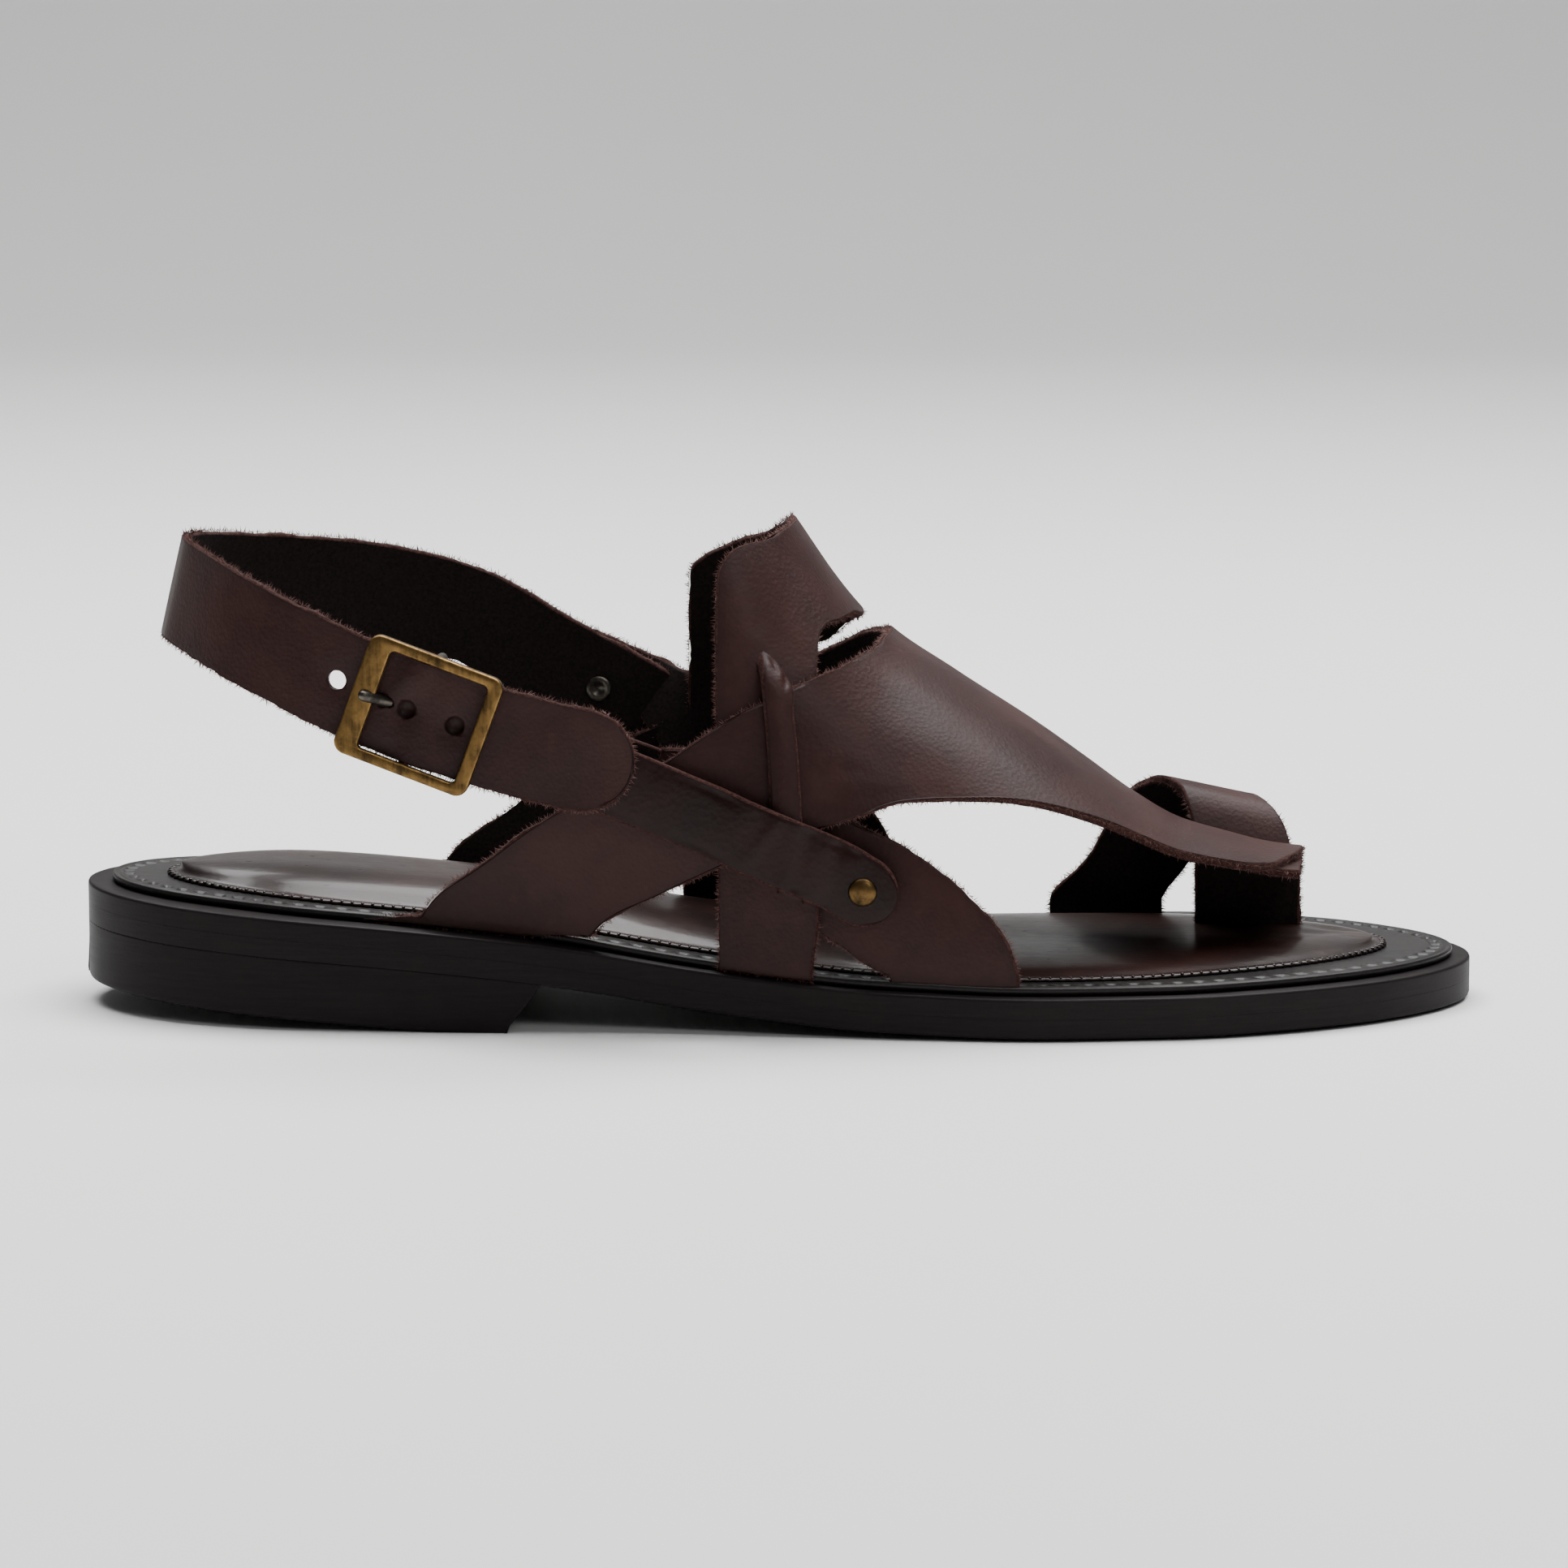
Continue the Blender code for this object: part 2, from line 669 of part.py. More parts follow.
# Material by name, colour, roughness and metalness
def material(name, colour, roughness, metallic):
    made = bpy.data.materials.new(name)
    made.use_nodes = True
    shader = made.node_tree.nodes["Principled BSDF"]
    shader.inputs["Base Color"].default_value = (*colour, 1)
    shader.inputs["Roughness"].default_value = roughness
    shader.inputs["Metallic"].default_value = metallic
    made.diffuse_color = (*colour, 1)
    return made


for old in list(bpy.data.objects):
    bpy.data.objects.remove(old, do_unlink=True)

scene = bpy.context.scene
sandal = bpy.data.collections.new("wraparound_sandal")
scene.collection.children.link(sandal)
cutters = bpy.data.collections.new("cutters")
scene.collection.children.link(cutters)

# Sole
outsole = sole_layer(
    "outsole",
    lambda u: 0,
    (0, 0),
    outsole_bottom,
    lambda s, t, u: read(UNDERSIDE, 1, s) * HEEL_RISE + OUTSOLE,
    (40, 6),
    sandal,
)
midsole = sole_layer(
    "midsole",
    lambda u: 0,
    (0, 0),
    lambda s, t: read(UNDERSIDE, 1, s) * HEEL_RISE + OUTSOLE + JOINT_GAP,
    lambda s, t, u: sole_top(s),
    (40, 2),
    sandal,
)
heel = heel_block(sandal)

# Footbed
board = sole_layer(
    "footbed_board",
    lambda u: read(RIM, 1, u) * HALF_WIDTH,
    RIM_ENDS,
    lambda s, t: sole_top(s) + JOINT_GAP,
    lambda s, t, u: board_top(s),
    (40, 2),
    sandal,
)


# Crowned top of the pad
def pad_top(share, t, u):
    crown = read(PAD, 2, u) * HALF_WIDTH
    ends = sqrt(max(0, 1 - abs(2 * u - 1)**7))
    return board_top(share) + JOINT_GAP + PAD_EDGE + crown * (1 - t**4) * ends


pad = sole_layer(
    "footbed_pad",
    lambda u: read(PAD, 1, u) * HALF_WIDTH,
    PAD_ENDS,
    lambda s, t: board_top(s) + JOINT_GAP,
    pad_top,
    (32, 8),
    sandal,
)

# Upper: straps joined where they cross
mirrored_tail = [(r[0], 180 - r[1], r[2], 180 - r[3], r[4]) for r in VAMP_TAIL]
vamp_rows = VAMP_TAIL + VAMP_TOP + tuple(reversed(mirrored_tail))
upper = form_strap("upper", vamp_rows, 2, 8, sandal)
joined = (
    form_strap("instep_strap", INSTEP_STRAP, 2, 3, cutters),
    form_strap("bridge_outer", BRIDGE, 2, 2, cutters),
    form_strap("front_band_outer", LATERAL_BAND, 2, 4, cutters),
    form_strap("front_band_inner", MEDIAL_BAND, 2, 3, cutters),
    edge_strap("toe_ring", TOE_RING, 3, 4, cutters),
    form_strap("toe_post", TOE_POST, 2, 4, cutters),
)
for strap in joined:
    combine(upper, strap, "UNION")

# Slots for the strap feet
feet = (
    (VAMP_TAIL[0][0], VAMP_TAIL[0][2], -1, VAMP_TAIL[0][4]),
    (VAMP_TAIL[0][0], VAMP_TAIL[0][2], 1, VAMP_TAIL[0][4]),
    (INSTEP_STRAP[0][0], INSTEP_STRAP[0][2], -1, INSTEP_STRAP[0][4]),
    (INSTEP_STRAP[-1][0], INSTEP_STRAP[-1][2], 1, INSTEP_STRAP[-1][4]),
    (LATERAL_BAND[0][0], LATERAL_BAND[0][2], -1, LATERAL_BAND[0][4]),
    (MEDIAL_BAND[0][0], MEDIAL_BAND[0][2], 1, MEDIAL_BAND[0][4]),
    (TOE_POST[-1][0], TOE_POST[-1][2], 1, TOE_POST[-1][4]),
)
for number, (start, stop, side, lift) in enumerate(feet):
    slot = foot_slot(f"foot_slot_{number}", start, stop, side, lift, cutters)
    combine(board, slot, "DIFFERENCE")
    if start == TOE_POST[-1][0]:
        combine(pad, slot, "DIFFERENCE")
for number, row in enumerate((TOE_RING[0], TOE_RING[-1])):
    back = place(*row[:3])
    front = place(*row[3:])
    halves = (
        (front.x - back.x) / 2 + JOINT_GAP,
        LEATHER / 2 + JOINT_GAP,
        SLOT_ABOVE,
    )
    axes = (Vector((1, 0, 0)), Vector((0, 1, 0)), Vector((0, 0, 1)))
    slot = block(f"ring_slot_{number}", (back + front) / 2, axes, halves, cutters)
    combine(board, slot, "DIFFERENCE")
    combine(pad, slot, "DIFFERENCE")

# Heel strap with its row of holes
heel_points = [place(*r[:3]) for r in HEEL_STRAP]
heel_ups = []
for point, row in zip(heel_points, HEEL_STRAP):
    inward = (place(*HEEL_CENTRE) - point) * Vector((1, 1, 0))
    heel_ups.append(Vector((0, 0, 1)) + inward.normalized() * row[3])
heel_line = middle_line(heel_points, heel_ups, 4)
heel_total = lengths(heel_line)
heel_strap = ribbon("heel_strap", heel_line, STRAP_WIDTH, LEATHER, (True, True), sandal)
for number, share in enumerate(HOLE_SHARES):
    point, run, rise = line_frame(heel_line, heel_total, share * LENGTH)
    name = f"strap_hole_{number}"
    hole = pin(name, point, run.cross(rise), STRAP_HOLE, 2 * LEATHER, cutters)
    combine(heel_strap, hole, "DIFFERENCE")

# Buckle strap folded round the bar
bar = place(*BAR_PLACE)
drop = radians(FRAME_DROP)
turn = radians(FRAME_TURN)
run_axis = Vector((cos(drop) * cos(turn), -sin(turn), -sin(drop))).normalized()
out_axis = Vector((-sin(turn), -1, 0))
out_axis = (out_axis - run_axis * out_axis.dot(run_axis)).normalized()
up_axis = out_axis.cross(run_axis).normalized()
if up_axis.z < 0:
    up_axis = -up_axis
fold = []
for k in range(9):
    angle = pi * k / 8
    offset = -run_axis * sin(angle) + out_axis * cos(angle)
    fold.append(bar + offset * FOLD_RADIUS)
leg_points = [place(*r) for r in OUTER_LEG] + fold + [place(*r) for r in INNER_LEG]
upright = Vector((0, 0, 1))
leg_ups = [upright] * len(OUTER_LEG) + [up_axis] * len(fold) + [upright] * len(INNER_LEG)
leg_line = middle_line(leg_points, leg_ups, 4)
buckle_strap = ribbon(
    "buckle_strap", leg_line, BUCKLE_STRAP_WIDTH, BUCKLE_LEATHER, (True, False), sandal
)

# Buckle frame with its set-back bar
frame_centre = bar + out_axis * BAR_DEPTH
axes = (run_axis, up_axis, out_axis)
halves = (FRAME_LENGTH / 2, FRAME_HEIGHT / 2, FRAME_THICK / 2)
frame = block("buckle_frame", frame_centre, axes, halves, sandal)
round_off = frame.modifiers.new("Round corners", "BEVEL")
round_off.width = FRAME_SOFT
round_off.segments = 2
window = block(
    "buckle_window",
    frame_centre + run_axis * (FRAME_BAR - FRAME_KEEPER) / 2,
    axes,
    (halves[0] - (FRAME_BAR + FRAME_KEEPER) / 2, halves[1] - FRAME_RAIL, FRAME_THICK),
    cutters,
)
combine(frame, window, "DIFFERENCE")
bar_pin = pin("buckle_bar", bar, up_axis, BAR_RADIUS, halves[1] - BAR_SHORT, cutters)
combine(frame, bar_pin, "UNION")
for side in (-1, 1):
    post_centre = bar + up_axis * (halves[1] - POST_INSET) * side + out_axis * BAR_DEPTH * 0.45
    post = block(
        f"buckle_post_{'upper' if side > 0 else 'lower'}",
        post_centre,
        axes,
        (*POST_HALVES, BAR_DEPTH * 0.55),
        cutters,
    )
    combine(frame, post, "UNION")

# Prong through its own slanted hole and over a notch of the frame
root = frame_centre + run_axis * PRONG_ROOT[0] + out_axis * PRONG_ROOT[1]
tip = frame_centre + run_axis * PRONG_TIP[0] + out_axis * PRONG_TIP[1]
prong_axis = tip - root
reach = prong_axis.length / 2
prong = pin("buckle_prong", (root + tip) / 2, prong_axis, PRONG_RADIUS, reach, sandal)
prong_room = pin(
    "prong_room",
    (root + tip) / 2,
    prong_axis,
    PRONG_RADIUS + PRONG_ROOM,
    reach + PRONG_ROOM,
    cutters,
)
combine(heel_strap, prong_room, "DIFFERENCE")
combine(frame, prong_room, "DIFFERENCE")


# Domed rivet with a shank and a flat tail
def rivet(name, centre, axis, front, back, collection):
    profile = [(0, front + RIVET_DOME)]
    for angle in (70, 50, 30, 12):
        turned_by = radians(angle)
        profile.append((RIVET_CAP * cos(turned_by), front + RIVET_DOME * sin(turned_by)))
    profile += [
        (RIVET_CAP, front),
        (RIVET_SHANK, front),
        (RIVET_SHANK, -back),
        (RIVET_CAP * RIVET_TAIL_SHARE, -back),
        (RIVET_CAP * RIVET_TAIL_SHARE, -back - RIVET_TAIL),
        (0, -back - RIVET_TAIL),
    ]
    return turned(name, profile, centre, axis, collection)


# Rivets and the holes for them
leg_total = lengths(leg_line)
outer_at = (place(*OUTER_LEG[0]) - place(*OUTER_LEG[1])).length
lateral_point, lateral_run, lateral_rise = line_frame(leg_line, leg_total, outer_at)
lateral_axis = lateral_run.cross(lateral_rise)
if lateral_axis.y > 0:
    lateral_axis = -lateral_axis
rivet_lateral = rivet(
    "rivet_lateral",
    lateral_point,
    lateral_axis,
    BUCKLE_LEATHER / 2 + JOINT_GAP,
    BUCKLE_LEATHER / 2 + RIVET_REACH,
    sandal,
)
lateral_hole = pin(
    "rivet_hole_outer", lateral_point, lateral_axis, RIVET_HOLE, RIVET_BORE, cutters
)
combine(buckle_strap, lateral_hole, "DIFFERENCE")
combine(upper, lateral_hole, "DIFFERENCE")

medial_row = len(HEEL_STRAP) - 2
medial_at = heel_total[medial_row * 4]
medial_point, medial_run, medial_rise = line_frame(heel_line, heel_total, medial_at)
medial_axis = medial_run.cross(medial_rise)
if medial_axis.y < 0:
    medial_axis = -medial_axis
rivet_medial = rivet(
    "rivet_medial",
    medial_point,
    medial_axis,
    LEATHER / 2 + RIVET_REACH,
    LEATHER / 2 + JOINT_GAP,
    sandal,
)
medial_hole = pin(
    "rivet_hole_inner", medial_point, medial_axis, RIVET_HOLE, RIVET_BORE, cutters
)
combine(heel_strap, medial_hole, "DIFFERENCE")
combine(upper, medial_hole, "DIFFERENCE")

# Room for both caps of the inner rivet where the band curves towards them
for number, (height, half) in enumerate((
    (LEATHER / 2 + RIVET_REACH + RIVET_DOME / 2, RIVET_DOME / 2),
    (-LEATHER / 2 - JOINT_GAP - RIVET_TAIL / 2, RIVET_TAIL / 2),
)):
    spot = medial_point + medial_axis * height
    room = pin(f"cap_room_{number}", spot, medial_axis, RIVET_CAP + JOINT_GAP, half + JOINT_GAP / 2, cutters)
    combine(upper, room, "DIFFERENCE")

# Materials
leather = material("brown_leather", (0.055, 0.022, 0.020), 0.45, 0)
sole_edge = material("dark_sole_edge", (0.018, 0.013, 0.013), 0.5, 0)
border = material("dark_board_leather", (0.020, 0.012, 0.012), 0.55, 0)
glossy = material("glossy_footbed_leather", (0.075, 0.026, 0.020), 0.28, 0)
brass = material("antique_brass", (0.30, 0.20, 0.09), 0.38, 1)
looks = {
    outsole: sole_edge,
    midsole: sole_edge,
    heel: sole_edge,
    board: border,
    pad: glossy,
    upper: leather,
    heel_strap: leather,
    buckle_strap: leather,
    frame: brass,
    prong: brass,
    rivet_lateral: brass,
    rivet_medial: brass,
}
for item, look in looks.items():
    item.data.materials.append(look)

# Cutters and joined straps stay out of the picture
for item in cutters.objects:
    item.hide_render = True
    item.display_type = "WIRE"

# Centre the shoe on its own bounds
bpy.context.view_layer.update()
graph = bpy.context.evaluated_depsgraph_get()
low = Vector((1, 1, 1))
high = -low
for item in sandal.objects:
    shape = item.evaluated_get(graph)
    for corner in shape.data.vertices:
        low = Vector(map(min, low, corner.co))
        high = Vector(map(max, high, corner.co))
shift = Vector((-(low.x + high.x) / 2, -(low.y + high.y) / 2, 0))
for group in (sandal, cutters):
    for item in group.objects:
        item.data.transform(Matrix.Translation(shift))
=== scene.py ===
from math import cos, pi, radians, sin

import bmesh
import bpy
import numpy as np
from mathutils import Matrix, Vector


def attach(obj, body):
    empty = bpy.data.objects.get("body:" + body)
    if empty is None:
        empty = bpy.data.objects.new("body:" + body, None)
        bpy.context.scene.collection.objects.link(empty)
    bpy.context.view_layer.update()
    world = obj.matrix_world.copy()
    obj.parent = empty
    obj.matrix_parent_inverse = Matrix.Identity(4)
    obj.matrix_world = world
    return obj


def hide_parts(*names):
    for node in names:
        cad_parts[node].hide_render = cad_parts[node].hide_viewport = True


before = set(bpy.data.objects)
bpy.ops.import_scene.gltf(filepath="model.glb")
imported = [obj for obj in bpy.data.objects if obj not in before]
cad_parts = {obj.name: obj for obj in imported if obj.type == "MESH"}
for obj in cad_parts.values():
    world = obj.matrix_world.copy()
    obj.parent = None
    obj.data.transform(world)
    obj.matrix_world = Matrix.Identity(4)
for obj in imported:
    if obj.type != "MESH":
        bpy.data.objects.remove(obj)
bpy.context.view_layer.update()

# Driving sizes of the shoe, the same as the part's
shoe = {
    "length": 0.285,
    "halfWidth": 0.0471,
    "instep": 0.099,
    "heelRise": 0.0167,
    "leather": 0.002,
    "outsole": 0.0039,
    "midsole": 0.0040,
    "board": 0.0015,
    "jointGap": 0.0003,
    "centring": (0.0004, 0.0005, 0.0),
}

# Share along, centre line and half width of the sole
plan = (
    (0.00, 0.000, 0.764), (0.10, -0.006, 0.777), (0.20, -0.042, 0.783), (0.30, -0.070, 0.783),
    (0.40, -0.085, 0.781), (0.50, -0.089, 0.834), (0.60, -0.072, 0.932), (0.70, -0.032, 1.000),
    (0.78, 0.019, 0.996), (0.85, 0.059, 0.962), (0.92, 0.098, 0.926), (1.00, 0.127, 0.860),
)
# Share along, underside height at the edge and in the middle
underside = (
    (0.00, 1.000, 1.000), (0.15, 0.850, 0.850), (0.333, 0.581, 0.581), (0.45, 0.281, 0.262),
    (0.56, 0.090, 0.042), (0.61, 0.060, 0.000), (0.66, 0.036, 0.000), (0.75, 0.030, 0.000),
    (0.88, 0.042, 0.000), (0.96, 0.036, 0.000), (1.00, 0.036, 0.012),
)
# Share along, plain rim outside the board
rim = (
    (0.00, 0.106), (0.10, 0.127), (0.30, 0.117), (0.42, 0.068), (0.70, 0.064), (0.90, 0.076),
    (1.00, 0.085),
)
# Share along, inset of the pad and its crown
pad = (
    (0.00, 0.270, 0.060), (0.12, 0.270, 0.085), (0.30, 0.262, 0.080), (0.50, 0.215, 0.048),
    (0.70, 0.205, 0.036), (0.90, 0.235, 0.034), (1.00, 0.250, 0.022),
)
# Share along, side shift and height of the ridge of the foot form
ridge = (
    (0.237, 0.000, 1.263), (0.342, 0.000, 1.263), (0.462, 0.000, 1.146), (0.504, 0.000, 0.972),
    (0.544, 0.000, 0.812), (0.569, 0.000, 0.735), (0.616, 0.021, 0.642), (0.664, 0.042, 0.551),
    (0.711, 0.085, 0.453), (0.747, 0.127, 0.381), (0.783, 0.159, 0.322), (0.818, 0.180, 0.289),
    (0.852, 0.191, 0.265), (0.887, 0.202, 0.252),
)
form = {
    "heelRound": 0.17, "toeRound": 0.22, "endTip": 0.006, "roundness": 0.8, "seat": 0.0025,
    "toeGapStart": 0.668, "toeGapEnd": 0.802, "toeGapSide": 0.011, "anchor": 0.0012, "footWrap": 10,
}


def curve(keys, values, at):  # smooth curve through a table column, with no swings between rows
    keys, values = np.asarray(keys, float), np.asarray(values, float)
    step = np.diff(keys)
    slope = np.diff(values) / step
    tangent = np.empty_like(values)
    tangent[0], tangent[-1] = slope[0], slope[-1]
    before, after = 2 * step[1:] + step[:-1], step[1:] + 2 * step[:-1]
    turning = slope[:-1] * slope[1:] > 0
    first, second = np.where(turning, slope[:-1], 1.0), np.where(turning, slope[1:], 1.0)
    tangent[1:-1] = np.where(turning, (before + after) / (before / first + after / second), 0)
    at = np.clip(at, keys[0], keys[-1])
    i = np.clip(np.searchsorted(keys, at) - 1, 0, len(step) - 1)
    t = (at - keys[i]) / step[i]
    rise = (2 * t**3 - 3 * t**2 + 1) * values[i] + (3 * t**2 - 2 * t**3) * values[i + 1]
    bend = (t**3 - 2 * t**2 + t) * tangent[i] + (t**3 - t**2) * tangent[i + 1]
    return rise + bend * step[i]


def read(table, column, at):
    return curve([row[0] for row in table], [row[column] for row in table], at)


def unit(vectors):
    return vectors / np.maximum(np.linalg.norm(vectors, axis=-1, keepdims=True), 1e-12)


def place(along, side, up):  # point from shares of the driving sizes
    point = ((along - 0.5) * shoe["length"], side * shoe["halfWidth"], up * shoe["instep"])
    return np.array(point) + shoe["centring"]


def endRound(half, reach, tip):
    tip = np.minimum(tip, half)
    return np.sqrt(tip**2 + (half**2 - tip**2) * np.maximum(0, 1 - reach**2))


def halfWidth(share, inset, tip):
    half = read(plan, 2, share) * shoe["halfWidth"] - inset
    heelReach = 1 - share / form["heelRound"]
    toeReach = (share - 1 + form["toeRound"]) / form["toeRound"]
    half = np.where(share < form["heelRound"], endRound(half, heelReach, tip), half)
    return np.where(share > 1 - form["toeRound"], endRound(half, toeReach, tip), half)


def bottomEdge(share):
    return read(underside, 1, share) * shoe["heelRise"]


def soleTop(share):
    return bottomEdge(share) + shoe["outsole"] + shoe["jointGap"] + shoe["midsole"]


def boardTop(share):
    return soleTop(share) + shoe["jointGap"] + shoe["board"]


def formPoint(share, wrap):  # wrap is 0 on the outer foot line, a quarter turn on the ridge
    edge = read(rim, 1, share) * shoe["halfWidth"] + form["seat"]
    middle = read(plan, 1, share) * shoe["halfWidth"]
    half = halfWidth(share, 0, form["endTip"])
    gap = np.clip((share - form["toeGapStart"]) / (form["toeGapEnd"] - form["toeGapStart"]), 0, 1)
    gap = gap * gap * (3 - 2 * gap)
    inner = (middle + half - edge) * (1 - gap) + form["toeGapSide"] * gap
    side = np.where(wrap <= pi / 2, middle - half + edge, inner)
    ridgeSide = read(ridge, 1, share) * shoe["halfWidth"]
    ridgeTop = read(ridge, 2, share) * shoe["instep"]
    base = boardTop(share)
    y = ridgeSide + (side - ridgeSide) * np.abs(np.cos(wrap)) ** form["roundness"]
    z = base + (ridgeTop - base) * np.maximum(np.sin(wrap), 0) ** form["roundness"]
    return np.stack([(share - 0.5) * shoe["length"], y, z], axis=-1)


def liftedPoint(share, degrees, lift):  # off the form, or sunk straight down below its foot line
    held = np.clip(degrees, 0.12, 179.88)
    wrap = np.radians(held)
    along = formPoint(share + 0.002, wrap) - formPoint(share - 0.002, wrap)
    around = formPoint(share, wrap + 0.001) - formPoint(share, wrap - 0.001)
    normal = unit(np.cross(along, around))
    outward = normal[..., 1] * np.where(held < 90, -1, 1) + normal[..., 2]
    normal = np.where(outward[..., None] < 0, -normal, normal)
    point = formPoint(share, wrap) + normal * lift[..., None]
    beyond = np.maximum(0, np.maximum(-degrees, degrees - 180)) / form["footWrap"]
    point[..., 2] += (boardTop(share) - form["anchor"] - point[..., 2]) * beyond
    return point + shoe["centring"]


def linked(name, data):
    item = bpy.data.objects.new(name, data)
    bpy.context.scene.collection.objects.link(item)
    return item


def meshFrom(name, points, faces, marks=None, flat=None):  # a closed mesh with outward faces
    mesh = bpy.data.meshes.new(name)
    mesh.from_pydata([tuple(p) for p in points], [], faces)
    for key, values in (marks or {}).items():
        mesh.attributes.new(key, "FLOAT", "POINT").data.foreach_set("value", np.asarray(values, np.float32))
    if flat is not None:  # the piece's own map, in centimetres along and across
        layer = mesh.uv_layers.new(name="strapMap")
        corner = np.empty(len(mesh.loops), np.int32)
        mesh.loops.foreach_get("vertex_index", corner)
        layer.data.foreach_set("uv", (np.asarray(flat, np.float32)[corner] * 100).ravel())
    work = bmesh.new()
    work.from_mesh(mesh)
    bmesh.ops.recalc_face_normals(work, faces=work.faces)
    work.to_mesh(mesh)
    work.free()
    mesh.shade_smooth()
    return linked(name, mesh)


def finishPiece(item, look, slot, *nodes):
    item.data.materials.clear()
    item.data.materials.append(look)
    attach(item, "root")
    if nodes:
        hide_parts(*nodes)
    return item


# Shader sums written as plain sums
class Signal:
    def __init__(self, look, socket):
        self.look, self.socket = look, socket

    def join(self, operation, first, second):
        return self.look.node("ShaderNodeMath", {"operation": operation}, {0: first, 1: second})

    def __add__(self, other):
        return self.join("ADD", self, other)

    def __radd__(self, other):
        return self.join("ADD", other, self)

    def __sub__(self, other):
        return self.join("SUBTRACT", self, other)

    def __rsub__(self, other):
        return self.join("SUBTRACT", other, self)

    def __mul__(self, other):
        return self.join("MULTIPLY", self, other)

    def within(self, low, high):  # 0 below low, 1 above high
        inputs = {"Value": self, "From Min": low, "From Max": high}
        return self.look.node("ShaderNodeMapRange", {"interpolation_type": "SMOOTHSTEP"}, inputs)


class Look:
    def __init__(self, name):
        self.material = bpy.data.materials.new(name)
        self.material.use_nodes = True
        self.tree = self.material.node_tree
        self.tree.nodes.clear()

    def node(self, kind, settings=None, inputs=None, output=0):
        made = self.tree.nodes.new(kind)
        for key, value in (settings or {}).items():
            setattr(made, key, value)
        for key, value in (inputs or {}).items():
            if isinstance(value, Signal):
                self.tree.links.new(value.socket, made.inputs[key])
            else:
                made.inputs[key].default_value = value
        return Signal(self, made.outputs[output])

    def mark(self, name):
        return self.node("ShaderNodeAttribute", {"attribute_name": name}, output="Fac")

    def position(self, stretch=(1, 1, 1)):
        where = self.node("ShaderNodeTexCoord", output="Object")
        return self.node("ShaderNodeMapping", None, {"Vector": where, "Scale": stretch})

    def noise(self, where, scale, detail=3, roughness=0.5):
        inputs = {"Vector": where, "Scale": scale, "Detail": detail, "Roughness": roughness}
        return self.node("ShaderNodeTexNoise", None, inputs)

    def cells(self, where, scale):
        return self.node("ShaderNodeTexVoronoi", None, {"Vector": where, "Scale": scale})

    def mix(self, amount, first, second):
        inputs = {0: amount, 6: first, 7: second}
        return self.node("ShaderNodeMix", {"data_type": "RGBA"}, inputs, output=2)

    def bump(self, height, depth, strength=1.0, under=None):
        inputs = {"Height": height, "Distance": depth, "Strength": strength}
        if under is not None:
            inputs["Normal"] = under
        return self.node("ShaderNodeBump", None, inputs)

    def surface(self, **inputs):
        named = {key.replace("_", " "): value for key, value in inputs.items()}
        shader = self.node("ShaderNodeBsdfPrincipled", None, named)
        end = self.tree.nodes.new("ShaderNodeOutputMaterial")
        self.tree.links.new(shader.socket, end.inputs["Surface"])
        return self.material


def rgb(red, green, blue):
    return (red, green, blue, 1.0)


# Grain side, napped inside and raw cut edges of a strap in one finish
def strapLook(name, values):
    look = Look(name)
    where = look.position()
    cut, flesh, edge = look.mark("cut"), look.mark("flesh"), look.mark("edge")
    cloud = look.noise(where, 45, 4, 0.6)
    mottle = look.noise(where, 260, 5, 0.62)
    grain = look.mix(cloud.within(0.35, 0.68), values["grainDark"], values["grainLight"])
    grain = look.mix(mottle.within(0.5, 0.8) * 0.35, grain, values["grainWarm"])
    scuff = look.noise(look.position((1.0, 1.0, 0.22)), 700, 3, 0.7).within(0.66, 0.78)
    grain = look.mix(scuff * look.noise(where, 60, 2).within(0.5, 0.62) * 0.35, grain, values["scuff"])
    # painted shade: the grain darkens towards the strap's sides, partly burnish and partly painted edge shade
    grain = look.mix(edge * 0.55, grain, values["burnishAndEdgeShade"])
    nap = look.noise(where, 1500, 4, 0.7)
    inside = look.mix(nap.within(0.3, 0.75), values["fleshDark"], values["fleshLight"])
    raw = look.mix(nap.within(0.35, 0.7), values["cutDark"], values["cutLight"])
    colour = look.mix(cut.within(0.4, 0.75), look.mix(flesh.within(0.4, 0.6), grain, inside), raw)
    soft = (flesh.within(0.4, 0.6) + cut.within(0.4, 0.75)).within(0, 1)
    rough = values["roughness"] + (cloud - 0.5) * 0.16 + mottle * 0.08
    rough = rough * (1 - soft) + soft * 0.92
    pores = look.cells(where, values["grainScale"])
    fine = look.noise(where, values["grainScale"] * 1.9, 3, 0.6)
    pebble = look.bump(pores * 0.8 + fine * 0.6, values["grainDepth"], 0.55)
    fuzz = look.bump(nap * soft, 0.00018, 0.8, pebble)
    return look.surface(
        Base_Color=colour,
        Roughness=rough,
        Specular_IOR_Level=values["specular"],
        Coat_Weight=(1 - soft) * values["coat"],
        Coat_Roughness=values["coatRoughness"],
        Normal=fuzz,
    )


